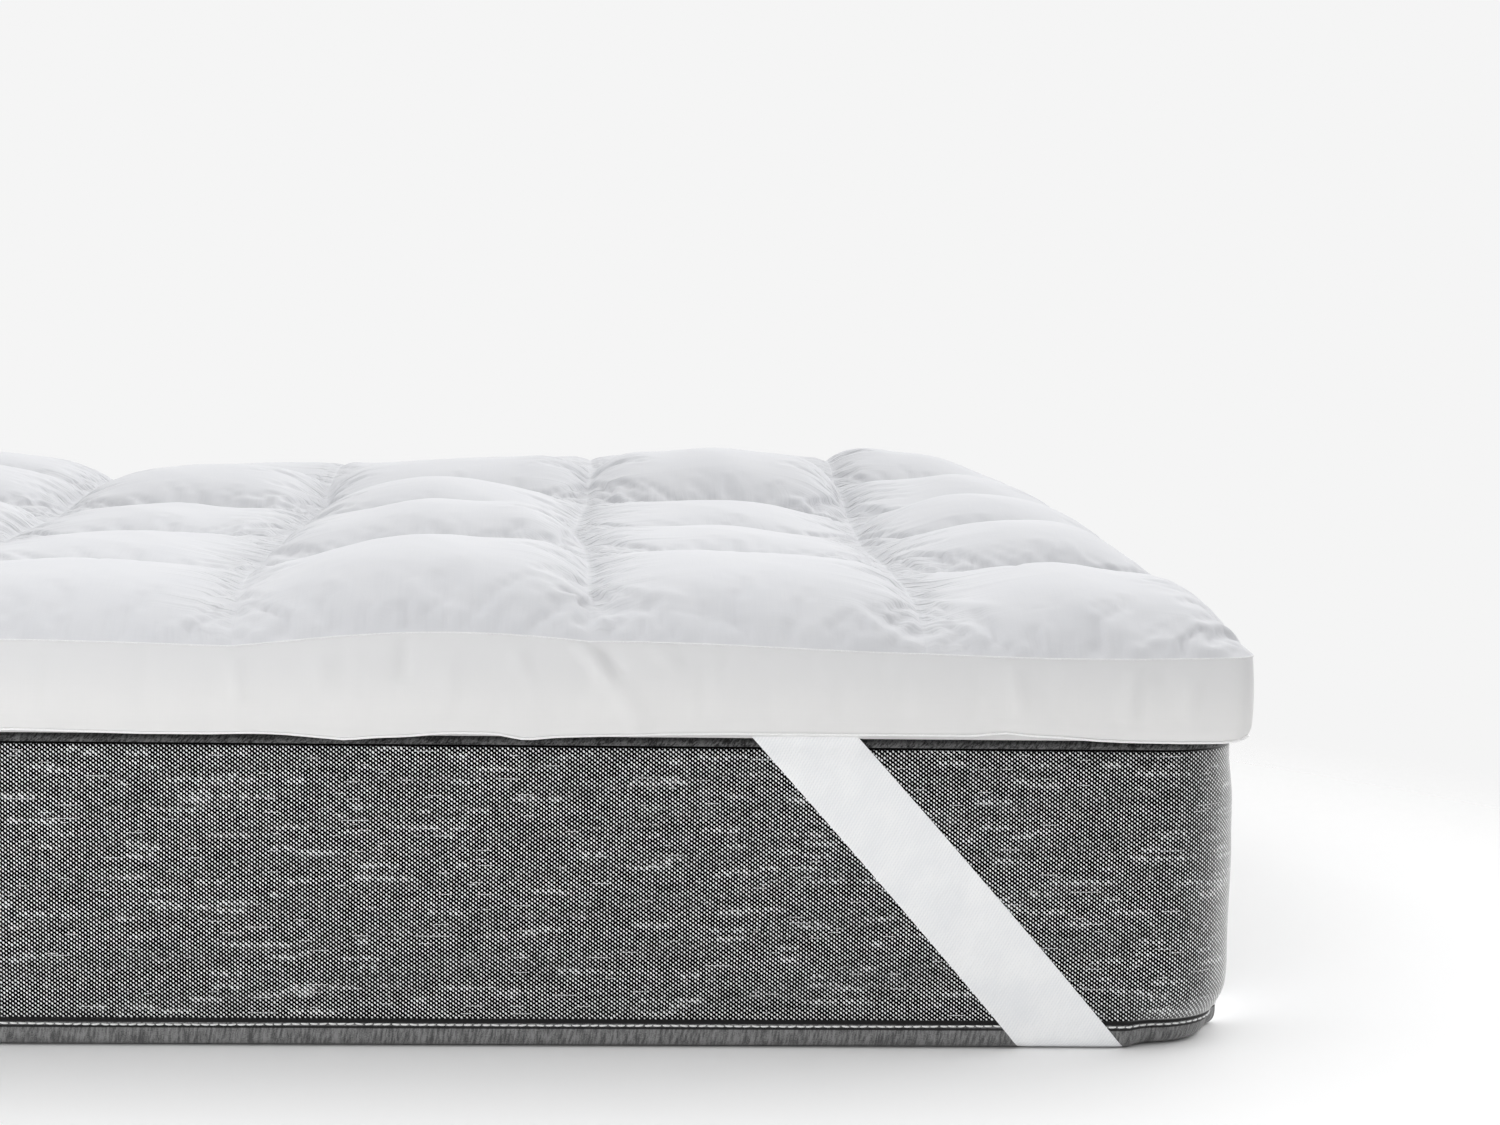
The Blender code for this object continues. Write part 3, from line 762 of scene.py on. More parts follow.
    # Gusset, turned in under its lowest line and meeting the base.
    plan = band[-1, :, :2]
    out = outward(plan)
    rings = [ring for ring in band]
    low = band[-1, :, 2]
    for inset, drop in ((0.0015, 0.0008), (0.0040, 0.0006), (0.0095, -0.0004)):
        ring = np.empty_like(band[-1])
        ring[:, :2] = plan - out * inset
        z = low - drop
        if inset > 0.005:
            z = np.full_like(low, MATTRESS_H + 0.0012)
        ring[:, 2] = z
        rings.append(ring)
    rings = np.array(rings)
    m = rings.shape[1]
    number = np.arange(rings.shape[0] * m).reshape(rings.shape[0], m)
    nxt = np.roll(number, -1, 1)
    faces = np.stack([number[:-1], number[1:], nxt[1:], nxt[:-1]], -1).reshape(-1, 4)
    uv = np.stack([np.broadcast_to(along, rings.shape[:2]), rings[..., 2]], -1).reshape(-1, 2)
    gusset_obj = new_mesh("topper_gusset", rings.reshape(-1, 3), faces, uv, [materials["gusset"]])
    pieces.append(gusset_obj)

    # The hem cord is a real cord; its whiter colour is a painted highlight along the topper's lower edge.
    for name, ring, push, radius, finish in (("edge_seam_welt", band[0], 0.0004, 0.00070, "welt"),
                                             ("hem_cord_painted_highlight", band[-1], 0.0007, 0.00105, "hem")):
        pieces.append(ring_tube(name, ring, push, radius, [materials[finish]]))

    # Base cloth under the filling.
    bx, by = np.meshgrid(np.linspace(-HALF_L + 0.008, HALF_L - 0.008, 60), np.linspace(-HALF_W + 0.005, HALF_W - 0.005, 44),
                         indexing="ij")
    bx, by = tuck_corner(bx, by)
    grid = np.stack([bx, by, np.full_like(bx, MATTRESS_H + 0.0010)], -1)
    number = np.arange(60 * 44).reshape(60, 44)
    faces = np.stack([number[:-1, :-1], number[:-1, 1:], number[1:, 1:], number[1:, :-1]], -1).reshape(-1, 4)
    pieces.append(new_mesh("topper_base", grid.reshape(-1, 3), faces, grid[..., :2].reshape(-1, 2), [materials["gusset"]]))
    return pieces


def ring_tube(name, ring, push, radius, materials, sides=6):
    """Thin cord along a closed line."""
    step = 2
    ring = ring[::step]
    out = outward(ring[:, :2])
    ahead = np.roll(ring, -1, 0) - np.roll(ring, 1, 0)
    ahead /= np.maximum(np.linalg.norm(ahead, axis=1, keepdims=True), 1e-12)
    side = np.concatenate([out, np.zeros((len(out), 1))], 1)
    side -= ahead * (side * ahead).sum(1, keepdims=True)
    side /= np.maximum(np.linalg.norm(side, axis=1, keepdims=True), 1e-12)
    up = np.cross(ahead, side)
    verts = []
    for k in range(sides):
        a = 2 * math.pi * k / sides
        verts.append(ring + side * (push + radius * math.cos(a)) + up * radius * math.sin(a))
    verts = np.array(verts).transpose(1, 0, 2)
    m = len(ring)
    number = np.arange(m * sides).reshape(m, sides)
    nxt, turn = np.roll(number, -1, 0), np.roll(number, -1, 1)
    both = np.roll(nxt, -1, 1)
    faces = np.stack([number, turn, both, nxt], -1).reshape(-1, 4)
    length = np.concatenate([[0.0], np.cumsum(np.linalg.norm(np.diff(ring, axis=0), axis=1))])
    uv = np.stack([np.broadcast_to(length[:, None], number.shape), np.broadcast_to(np.arange(sides) / sides * 0.006, number.shape)], -1)
    return new_mesh(name, verts.reshape(-1, 3), faces, uv.reshape(-1, 2), materials)


# =====================================================================================================================
# Mattress
# =====================================================================================================================
SEAM_LOW, SEAM_HIGH = 0.0215, 0.2471     # where the side panel meets its lower and upper bands
STITCH_Z = 0.0183
SIDE_BULGE = 0.0036


def side_bulge(z):
    """How far the soft side stands out at a height."""
    t = np.clip((SEAM_HIGH - np.asarray(z, dtype=float)) / (SEAM_HIGH - SEAM_LOW), 0, 1)
    return SIDE_BULGE * 2.05 * t**0.55 * (1 - t) ** 1.1


def plan_line():
    """The mattress's outline in plan, from the middle of the back: points, outward directions, length, corner share."""
    pts, dirs, corner = [], [], []
    hx, hy, r = HALF_L, HALF_W, PLAN_R

    def straight(a, b, out, step=0.009):
        count = max(2, int(round(math.hypot(b[0] - a[0], b[1] - a[1]) / step)))
        for k in range(count):
            t = k / count
            p = (a[0] + (b[0] - a[0]) * t, a[1] + (b[1] - a[1]) * t)
            near = min(math.hypot(p[0] - q[0], p[1] - q[1]) for q in ends)
            pts.append(p)
            dirs.append(out)
            corner.append(max(0.0, 1 - near / 0.022))

    def arc(cx, cy, start, steps=22):
        for k in range(steps):
            a = math.radians(start - 90 * k / steps)
            pts.append((cx + r * math.cos(a), cy + r * math.sin(a)))
            dirs.append((math.cos(a), math.sin(a)))
            corner.append(1.0)

    ends = [(sx * (hx - r), sy * hy) for sx in (-1, 1) for sy in (-1, 1)]
    ends += [(sx * hx, sy * (hy - r)) for sx in (-1, 1) for sy in (-1, 1)]
    straight((0.0, hy), (hx - r, hy), (0, 1))
    arc(hx - r, hy - r, 90)
    straight((hx, hy - r), (hx, -hy + r), (1, 0))
    arc(hx - r, -hy + r, 0)
    straight((hx - r, -hy), (-hx + r, -hy), (0, -1))
    arc(-hx + r, -hy + r, -90)
    straight((-hx, -hy + r), (-hx, hy - r), (-1, 0))
    arc(-hx + r, hy - r, 180)
    straight((-hx + r, hy), (0.0, hy), (0, 1))
    pts, dirs, corner = np.array(pts), np.array(dirs, dtype=float), np.array(corner)
    length = np.concatenate([[0.0], np.cumsum(np.linalg.norm(np.diff(pts, axis=0), axis=1))])
    total = length[-1] + np.linalg.norm(pts[0] - pts[-1])
    return pts, dirs, length, total, ease(corner)


# How far the upright corners stand out (mm) from the plain outline at each height (m): drawn in at the foot.
CORNER_OUT = np.array([
    (0.0, -17.0), (0.004, -15.0), (0.008, -14.0), (0.0117, -13.0), (0.0183, -11.0), (0.0227, -8.5), (0.0312, -3.0), (0.037, 0.0),
    (0.043, 1.6), (0.0505, 2.4), (0.0586, 2.7), (0.0743, 2.6), (0.1055, 2.6), (0.152, 3.4), (0.199, 2.9),
    (0.2148, 1.7), (0.2304, 0.0), (0.2455, -0.4), (0.254, -0.4),
])


def corner_out(z):
    return np.interp(z, CORNER_OUT[:, 0], CORNER_OUT[:, 1]) * 0.001


def side_profile():
    """(height, inset, band) rows up the side from the underside's rim to the top's rim; band 0 low, 1 panel, 2 high."""
    rows = []
    for k in range(0, 9):
        a = math.radians(10 * k * 0.92)
        rows.append((FOOT_R - FOOT_R * math.cos(a), FOOT_R - FOOT_R * math.sin(a), 0))
    rows = [q for q in rows if q[0] < SEAM_LOW - 0.0012] + [(0.0105, 0.0, 0), (0.0148, 0.0, 0)]
    arc_inset = lambda z: FOOT_R - math.sqrt(max(0.0, FOOT_R**2 - (FOOT_R - z) ** 2)) if z < FOOT_R else 0.0
    rows += [(SEAM_LOW - 0.0026, arc_inset(SEAM_LOW - 0.0026) - 0.0002, 0), (SEAM_LOW - 0.0010, arc_inset(SEAM_LOW) + 0.0003, 0),
             (SEAM_LOW, arc_inset(SEAM_LOW) + 0.0012, 0), (SEAM_LOW + 0.0010, arc_inset(SEAM_LOW) + 0.0002, 1)]
    zs = np.concatenate([[SEAM_LOW + 0.0030], np.linspace(SEAM_LOW + 0.0065, SEAM_HIGH - 0.0075, 30), [SEAM_HIGH - 0.0035]])
    rows += [(float(z), arc_inset(float(z)) - float(side_bulge(z)), 1) for z in zs]
    rows += [(SEAM_HIGH - 0.0012, 0.0002 - float(side_bulge(SEAM_HIGH - 0.0012)), 1), (SEAM_HIGH, 0.0016, 1),
             (SEAM_HIGH + 0.0008, 0.0006, 2), (SEAM_HIGH + 0.0022, 0.0002, 2), (SEAM_HIGH + 0.0038, 0.0010, 2),
             (SEAM_HIGH + 0.0051, 0.0028, 2), (SEAM_HIGH + 0.0062, 0.0055, 2), (MATTRESS_H, 0.0090, 2)]
    return rows


def build_mattress(materials):
    pts, dirs, length, total, corner = plan_line()
    rows = side_profile()
    verts, uv = [], []
    m = len(pts)
    for z, inset, band in rows:
        soft = 0.0
        if band == 1:
            soft = 0.0007 * noise2(length / 0.16, np.full(m, z / 0.09), 61) + 0.00025 * noise2(length / 0.04, np.full(m, z / 0.03), 62)
            soft = soft * min(1.0, (z - SEAM_LOW) / 0.02, (SEAM_HIGH - z) / 0.02)
        swell = float(side_bulge(z)) if band == 1 else 0.0
        shift = -inset + (corner_out(z) - swell) * corner + soft
        verts.append(np.column_stack([pts + dirs * np.asarray(shift)[..., None] if np.ndim(shift) else pts + dirs * shift, np.full(m, z)]))
        uv.append(np.column_stack([length, np.full(m, z)]))
    # Flat underside and top: a few rings in towards the middle, then one cap each.
    def cap(z, first_inset, sign):
        out = []
        for inset in (first_inset + 0.012, first_inset + 0.035):
            drawn = np.minimum(inset - float(corner_out(z)) * corner, PLAN_R * 0.93)
            out.append(np.column_stack([pts - dirs * drawn[:, None], np.full(m, z)]))
        return out
    low = cap(0.0, FOOT_R, 1)[::-1]
    high = cap(MATTRESS_H, 0.009, 1)
    rings = np.array(low + verts + high)
    zero = np.zeros((m, 2))
    uvs = np.array([np.column_stack([length, np.full(m, -0.05)]), np.column_stack([length, np.full(m, -0.02)])] + uv
                   + [np.column_stack([length, np.full(m, 0.27)]), np.column_stack([length, np.full(m, 0.29)])])
    count = len(rings)
    number = np.arange(count * m).reshape(count, m)
    nxt = np.roll(number, -1, 1)
    quads = np.stack([number[:-1], number[1:], nxt[1:], nxt[:-1]], -1).reshape(-1, 4)
    faces = [tuple(q) for q in quads.tolist()] + [tuple(number[0].tolist()), tuple(number[-1].tolist()[::-1])]
    mesh_uv = uvs.reshape(-1, 2)
    obj = new_mesh("mattress_body", rings.reshape(-1, 3), faces, mesh_uv, [materials["knit"], materials["low_band"], materials["high_band"]])
    index = np.zeros(len(obj.data.polygons), dtype=np.int32)
    bands = [0] * len(low) + [q[2] + 10 for q in rows] + [2] * len(high)
    kind = {10: 1, 11: 0, 12: 2}
    per_ring = []
    for k in range(count - 1):
        a = bands[k]
        if k < len(low):
            per_ring.append(1)
        elif a >= 10:
            here = kind[a]
            per_ring.append(here)
        else:
            per_ring.append(2)
    for k, value in enumerate(per_ring):
        index[k * m:(k + 1) * m] = value
    index[-2], index[-1] = 1, 2
    obj.data.polygons.foreach_set("material_index", index)
    # The wrap-around column of faces would run back through the whole length.
    layer = obj.data.uv_layers[0].data
    values = np.empty(len(layer) * 2, dtype=np.float32)
    layer.foreach_get("uv", values)
    values = values.reshape(-1, 2)
    quad_loops = values[:len(quads) * 4].reshape(-1, 4, 2)
    wrapped = quad_loops[..., 0].max(1) - quad_loops[..., 0].min(1) > total / 2
    fix = quad_loops[wrapped]
    fix[..., 0] = np.where(fix[..., 0] < total / 2, fix[..., 0] + total, fix[..., 0])
    quad_loops[wrapped] = fix
    layer.foreach_set("uv", values.ravel())
    obj.data.update()

    # Running stitch round the lower band.
    arc = FOOT_R - math.sqrt(FOOT_R**2 - (FOOT_R - min(FOOT_R, STITCH_Z)) ** 2)
    shift = -(arc - 0.0004) + corner_out(STITCH_Z) * corner
    line = np.column_stack([pts + dirs * shift[:, None], np.full(m, STITCH_Z)])
    stitches = stitch_row("lower_band_stitching", line, dirs, 0.0073, 0.0065, 0.00078, [materials["thread"]])
    return [obj, stitches]


def stitch_row(name, line, dirs, pitch, long, radius, materials):
    """Running stitches: short rounded threads that dip into the cloth at both ends."""
    closed = np.vstack([line, line[:1]])
    d2 = np.vstack([dirs, dirs[:1]])
    seg = np.linalg.norm(np.diff(closed, axis=0), axis=1)
    s = np.concatenate([[0.0], np.cumsum(seg)])
    count = int(s[-1] / pitch)
    pitch = s[-1] / count
    rng = np.random.default_rng(71)
    verts, faces, uv = [], [], []
    sides, steps = 6, 5
    for k in range(count):
        start = k * pitch + rng.uniform(-0.00025, 0.00025)
        tilt = rng.uniform(-0.00035, 0.00035)
        length = long * rng.uniform(0.94, 1.04)
        q = start + length * np.linspace(0, 1, steps)
        centre = np.column_stack([np.interp(q % s[-1], s, closed[:, i]) for i in range(3)])
        out = np.column_stack([np.interp(q % s[-1], s, d2[:, i]) for i in range(2)] + [np.zeros(steps)])
        out /= np.linalg.norm(out, axis=1, keepdims=True)
        t = np.linspace(0, 1, steps)
        bow = np.sin(np.pi * t) ** 0.5
        centre = centre + out * (bow * 0.0010 - 0.0006)[:, None]
        centre[:, 2] += tilt * (t - 0.5) * 2 + 0.0006 * noise1(np.array([start / 0.09]), 72)[0]
        first = len(verts)
        for i in range(steps):
            r = radius * (0.55 + 0.45 * math.sin(math.pi * t[i]) ** 0.5)
            for j in range(sides):
                a = 2 * math.pi * j / sides
                verts.append(centre[i] + out[i] * r * math.cos(a) * 0.8 + np.array([0, 0, 1.0]) * r * math.sin(a))
                uv.append((q[i], j / sides * 0.004))
        for i in range(steps - 1):
            for j in range(sides):
                a, b = first + i * sides + j, first + i * sides + (j + 1) % sides
                faces.append((a, b, b + sides, a + sides))
        faces.append(tuple(first + j for j in range(sides))[::-1])
        faces.append(tuple(first + (steps - 1) * sides + j for j in range(sides)))
    return new_mesh(name, verts, faces, uv, materials)


# =====================================================================================================================
# Corner straps
# =====================================================================================================================
STRAP_WIDTH, STRAP_THICK = 0.064, 0.0015
STRAP_FROM_CORNER, STRAP_SLOPE, STRAP_BOW = 0.3565, 0.9055, 0.135
STRAP_TOP = 0.2585


def strap_path():
    """(distance from the corner along the edge, turn in degrees, height, gap to the mattress) from the top down."""
    reach = lambda s: STRAP_FROM_CORNER - STRAP_SLOPE * s + STRAP_BOW * s * s      # bowed a little by its pull
    rows = []
    for z in np.linspace(STRAP_TOP, FOOT_R, 56):
        rows.append((reach(MATTRESS_H - z), 0.0, z, 0.0004 + max(0.0, float(side_bulge(z)))))
    down = MATTRESS_H - FOOT_R
    for k in range(1, 13):
        turn = 90 * k / 12
        t = turn / 90
        rows.append((reach(down + FOOT_R * math.sin(math.radians(turn))), turn, None, 0.0004 + (-0.0018 - 0.0004) * t))
    return rows


def build_strap(name, sx, sy, materials):
    across = 12
    angle = math.atan2(1.0, STRAP_SLOPE)
    half = STRAP_WIDTH / 2 / math.sin(angle)
    inner, outer = [], []
    for from_corner, turn, height, gap in strap_path():
        a = math.radians(turn)
        rows = ([], [])
        for k in range(across + 1):
            t = -1 + 2 * k / across
            thin = STRAP_THICK * (1.0 if 0 < k < across else 0.62)
            for row, off in zip(rows, (gap + (STRAP_THICK - thin) / 2, gap + (STRAP_THICK + thin) / 2)):
                x = HALF_L - (from_corner - half * t)
                y = -HALF_W + FOOT_R - (FOOT_R + off) * math.cos(a)
                z = (height if height is not None else FOOT_R) - ((FOOT_R + off) * math.sin(a) if turn else 0.0)
                row.append((x, y, z))
        inner.append(rows[0])
        outer.append(rows[1])

    def other_side(p):
        dx, dy = HALF_L - p[0], p[1] + HALF_W
        return (HALF_L - dy, -HALF_W + dx, p[2])

    under_steps = 30
    a_in, a_out = inner[-1], outer[-1]
    b_in, b_out = [other_side(p) for p in a_in], [other_side(p) for p in a_out]
    mix = lambda p, q, t: tuple(p[i] + (q[i] - p[i]) * t for i in range(3))
    bridge_in = [[mix(p, q, k / under_steps) for p, q in zip(a_in, b_in)] for k in range(1, under_steps)]
    bridge_out = [[mix(p, q, k / under_steps) for p, q in zip(a_out, b_out)] for k in range(1, under_steps)]
    inner = inner + bridge_in + [[other_side(p) for p in row] for row in reversed(inner)]
    outer = outer + bridge_out + [[other_side(p) for p in row] for row in reversed(outer)]
    inner, outer = np.array(inner), np.array(outer)
    inner[..., 0] *= sx
    outer[..., 0] *= sx
    inner[..., 1] *= sy
    outer[..., 1] *= sy
    rows, cols = outer.shape[:2]
    middle = (outer[:, cols // 2])
    run = np.concatenate([[0.0], np.cumsum(np.linalg.norm(np.diff(middle, axis=0), axis=1))])
    # Rows run level across the slanting band; the relief needs the true place along it.
    slant = STRAP_SLOPE / math.hypot(1.0, STRAP_SLOPE)
    t = np.linspace(-1, 1, cols)
    away = half * math.cos(angle) * t * 1.0
    number_o = np.arange(rows * cols).reshape(rows, cols)
    number_i = number_o + rows * cols
    flip = sx * sy < 0
    faces = []
    faces += np.stack([number_o[:-1, :-1], number_o[1:, :-1], number_o[1:, 1:], number_o[:-1, 1:]], -1).reshape(-1, 4).tolist()
    faces += np.stack([number_i[:-1, :-1], number_i[:-1, 1:], number_i[1:, 1:], number_i[1:, :-1]], -1).reshape(-1, 4).tolist()
    for e, order in ((0, 1), (cols - 1, -1)):
        quad = np.stack([number_o[:-1, e], number_i[:-1, e], number_i[1:, e], number_o[1:, e]], -1)
        faces += (quad if order > 0 else quad[:, ::-1]).tolist()
    for e, order in ((0, -1), (rows - 1, 1)):
        quad = np.stack([number_o[e, :-1], number_i[e, :-1], number_i[e, 1:], number_o[e, 1:]], -1)
        faces += (quad if order > 0 else quad[:, ::-1]).tolist()
    faces = [tuple(f[::-1]) if flip else tuple(f) for f in faces]
    verts = np.concatenate([outer.reshape(-1, 3), inner.reshape(-1, 3)])
    lengthwise = run[:, None] + np.where(run[:, None] < run[-1] / 2, away[None], -away[None])
    crosswise = np.broadcast_to(t * STRAP_WIDTH / 2, (rows, cols))
    uv = np.stack([crosswise, lengthwise], -1).reshape(-1, 2)
    obj = new_mesh(name, verts, faces, np.concatenate([uv, uv]), materials)
    obj.data.set_sharp_from_angle(angle=math.radians(50))
    return obj


# =====================================================================================================================
# Materials
# =====================================================================================================================
class Nodes:
    """Short calls for one material's node tree."""

    def __init__(self, name):
        self.mat = bpy.data.materials.new(name)
        self.mat.use_nodes = True
        self.tree = self.mat.node_tree
        self.tree.nodes.clear()
        self.out = self.tree.nodes.new("ShaderNodeOutputMaterial")
        self.shader = self.tree.nodes.new("ShaderNodeBsdfPrincipled")
        self.tree.links.new(self.shader.outputs[0], self.out.inputs["Surface"])

    def put(self, socket, value):
        if isinstance(value, bpy.types.NodeSocket):
            self.tree.links.new(value, socket)
        else:
            socket.default_value = value

    def node(self, kind, inputs=(), **props):
        node = self.tree.nodes.new(kind)
        for key, value in props.items():
            setattr(node, key, value)
        for key, value in dict(inputs).items():
            self.put(node.inputs[key], value)
        return node

    def math(self, op, a, b=0.0, c=None, clamp=False):
        node = self.tree.nodes.new("ShaderNodeMath")
        node.operation = op
        node.use_clamp = clamp
        self.put(node.inputs[0], a)
        self.put(node.inputs[1], b)
        if c is not None:
            self.put(node.inputs[2], c)
        return node.outputs[0]

    def steps(self, value, lo, hi, out_lo=0.0, out_hi=1.0):
        node = self.node("ShaderNodeMapRange", {"Value": value, "From Min": lo, "From Max": hi, "To Min": out_lo, "To Max": out_hi},
                         interpolation_type="SMOOTHSTEP")
        return node.outputs["Result"]

    def vector(self, x, y, z=0.0):
        return self.node("ShaderNodeCombineXYZ", {"X": x, "Y": y, "Z": z}).outputs[0]

    def noise(self, vector, scale, detail=2.0, roughness=0.5, dims="3D", w=None):
        inputs = {"Scale": scale, "Detail": detail, "Roughness": roughness}
        node = self.tree.nodes.new("ShaderNodeTexNoise")
        node.noise_dimensions = dims
        for key, value in inputs.items():
            self.put(node.inputs[key], value)
        if dims == "1D":
            self.put(node.inputs["W"], w)
        else:
            self.put(node.inputs["Vector"], vector)
        return node.outputs[0]

    def mix(self, factor, a, b):
        node = self.node("ShaderNodeMix", data_type="RGBA")
        self.put(node.inputs[0], factor)
        self.put(node.inputs[6], a)
        self.put(node.inputs[7], b)
        return node.outputs[2]

    def bump(self, height, normal=None):
        node = self.node("ShaderNodeBump", {"Height": height, "Strength": 1.0, "Distance": 1.0})
        if normal is not None:
            self.put(node.inputs["Normal"], normal)
        return node.outputs[0]

    def attribute(self, name):
        return self.node("ShaderNodeAttribute", attribute_name=name).outputs["Fac"]

    def uv(self):
        both = self.node("ShaderNodeSeparateXYZ", {"Vector": self.node("ShaderNodeUVMap", uv_map="UVMap").outputs[0]})
        return both.outputs["X"], both.outputs["Y"]


def cotton_threads(n, u, v, scale=1.0):
    """Very fine plain weave with slightly uneven threads: a height in metres and a light pattern from 0 to 1."""
    warp = n.noise(n.vector(n.math("MULTIPLY", u, 900.0 * scale), n.math("MULTIPLY", v, 22.0 * scale)), 1.0, 1.0)
    weft = n.noise(n.vector(n.math("MULTIPLY", u, 22.0 * scale), n.math("MULTIPLY", v, 900.0 * scale), 7.0), 1.0, 1.0)
    both = n.math("ADD", n.math("MULTIPLY", warp, 0.5), n.math("MULTIPLY", weft, 0.5))
    return n.math("MULTIPLY", both, 0.00005), both


# The panel and the gusset are one white cotton: the panel's colours are painted darker and the gusset's lighter, as
# painted shade and painted light.
COTTON = (0.675, 0.680, 0.700, 1.0)
COTTON_DEEP = (0.648, 0.655, 0.680, 1.0)
# Painted shade for the deep creases of the gathers.
COTTON_PAINTED_CREASE_SHADE = (0.556, 0.560, 0.585, 1.0)
GUSSET = (0.826, 0.821, 0.816, 1.0)
GUSSET_DEEP = (0.806, 0.802, 0.799, 1.0)
# Painted shade on the gusset's upper part.
GUSSET_TOP_PAINTED_SHADE = (0.752, 0.753, 0.759, 1.0)


def cotton_material():
    n = Nodes("topper_cotton_percale")
    u, v = n.uv()
    place = n.vector(u, v)
    thread_height, thread_tone = cotton_threads(n, u, v)
    mottle = n.noise(place, 14.0, 3.0, 0.55)
    tone = n.math("ADD", n.math("MULTIPLY", thread_tone, 0.5), n.math("MULTIPLY", mottle, 0.5))
    # Fine gathers run out from the seams; the cloth deep in them is painted greyer, as painted shade in the creases.
    column = n.noise(None, 285.0, 1.2, 0.5, "1D", n.attribute("gather_column"))
    row = n.noise(None, 210.0, 1.2, 0.5, "1D", n.attribute("gather_row"))
    fine_c = n.math("MULTIPLY", n.math("MULTIPLY", column, n.attribute("gather_column_weight")), 0.0024)
    fine_r = n.math("MULTIPLY", n.math("MULTIPLY", row, n.attribute("gather_row_weight")), 0.0012)
    crumple = n.math("MULTIPLY", n.noise(place, 55.0, 2.0, 0.5), 0.00010)
    height = n.math("ADD", n.math("ADD", fine_c, fine_r), n.math("ADD", crumple, thread_height))
    n.put(n.shader.inputs["Normal"], n.bump(height))
    crease_shade_c = n.math("MULTIPLY", n.steps(column, 0.52, 0.34), n.attribute("gather_column_weight"))
    crease_shade_r = n.math("MULTIPLY", n.steps(row, 0.52, 0.34), n.attribute("gather_row_weight"))
    # Painted shade: how strongly the creases are painted greyer.
    deep = n.math("MULTIPLY", n.math("ADD", crease_shade_c, crease_shade_r), 0.55, clamp=True)
    cloth = n.mix(n.steps(tone, 0.30, 0.70), COTTON_DEEP, COTTON)
    n.put(n.shader.inputs["Base Color"], n.mix(deep, cloth, COTTON_PAINTED_CREASE_SHADE))
    n.shader.inputs["Roughness"].default_value = 0.72
    n.shader.inputs["Specular IOR Level"].default_value = 0.25
    n.shader.inputs["Sheen Weight"].default_value = 0.10
    n.shader.inputs["Sheen Roughness"].default_value = 0.45
    return n.mat


def gusset_material():
    n = Nodes("topper_cotton_gusset")
    u, v = n.uv()
    place = n.vector(u, v)
    thread_height, thread_tone = cotton_threads(n, u, v)
    mottle = n.noise(n.vector(n.math("MULTIPLY", u, 26.0), n.math("MULTIPLY", v, 12.0)), 1.0, 3.0, 0.55)
    tone = n.math("ADD", n.math("MULTIPLY", thread_tone, 0.45), n.math("MULTIPLY", mottle, 0.55))
    cloth = n.mix(n.steps(tone, 0.30, 0.70), GUSSET_DEEP, GUSSET)
    # Painted shade: the gusset is painted darker towards its top, the edge seam.
    n.put(n.shader.inputs["Base Color"], n.mix(n.steps(v, 0.272, 0.322), cloth, GUSSET_TOP_PAINTED_SHADE))
    folds = n.noise(n.vector(n.math("MULTIPLY", u, 30.0), n.math("MULTIPLY", v, 9.0), 3.0), 1.0, 2.0, 0.45)
    height = n.math("ADD", n.math("MULTIPLY", folds, 0.00025), thread_height)
    n.put(n.shader.inputs["Normal"], n.bump(height))
    n.shader.inputs["Roughness"].default_value = 0.72
    n.shader.inputs["Specular IOR Level"].default_value = 0.25
    n.shader.inputs["Sheen Weight"].default_value = 0.10
    n.shader.inputs["Sheen Roughness"].default_value = 0.45
    return n.mat


def welt_material(name, dark, light):
    n = Nodes(name)
    u, v = n.uv()
    twist = n.noise(n.vector(n.math("MULTIPLY", u, 700.0), n.math("MULTIPLY", v, 260.0)), 1.0, 1.0)
    n.put(n.shader.inputs["Base Color"], n.mix(n.steps(twist, 0.3, 0.7), dark, light))
    n.put(n.shader.inputs["Normal"], n.bump(n.math("MULTIPLY", twist, 0.00015)))
    n.shader.inputs["Roughness"].default_value = 0.65
    return n.mat


def thread_material():
    n = Nodes("white_stitch_thread")
    u, v = n.uv()
    ply = n.node("ShaderNodeTexWave", {"Vector": n.vector(n.math("MULTIPLY", u, 1.0), n.math("MULTIPLY", v, 0.6)), "Scale": 260.0},
                 wave_type="BANDS", bands_direction="DIAGONAL").outputs["Fac"]
    n.put(n.shader.inputs["Base Color"], n.mix(ply, (0.86, 0.86, 0.86, 1.0), (0.97, 0.97, 0.97, 1.0)))
    n.put(n.shader.inputs["Normal"], n.bump(n.math("MULTIPLY", ply, 0.00018)))
    n.shader.inputs["Roughness"].default_value = 0.6
    return n.mat


def strap_material():
    n = Nodes("strap_woven_elastic")
    u, v = n.uv()
    ribs = n.math("SINE", n.math("MULTIPLY", n.math("ADD", v, n.math("MULTIPLY", u, 0.35)), 2 * math.pi / 0.0026))
    cross = n.math("SINE", n.math("MULTIPLY", u, 2 * math.pi / 0.0024))
    weave = n.math("ADD", n.math("MULTIPLY", ribs, 0.55), n.math("MULTIPLY", n.math("MULTIPLY", ribs, cross), 0.45))
    drift = n.noise(n.vector(u, v), 30.0, 2.0)
    tone = n.math("ADD", n.math("MULTIPLY", weave, 0.34), drift)
    n.put(n.shader.inputs["Base Color"], n.mix(n.steps(tone, 0.2, 0.8), (0.885, 0.897, 0.917, 1.0), (0.990, 0.996, 1.0, 1.0)))
    n.put(n.shader.inputs["Normal"], n.bump(n.math("MULTIPLY", weave, 0.00009)))
    n.shader.inputs["Roughness"].default_value = 0.6
    n.shader.inputs["Specular IOR Level"].default_value = 0.3
    n.shader.inputs["Sheen Weight"].default_value = 0.1
    return n.mat


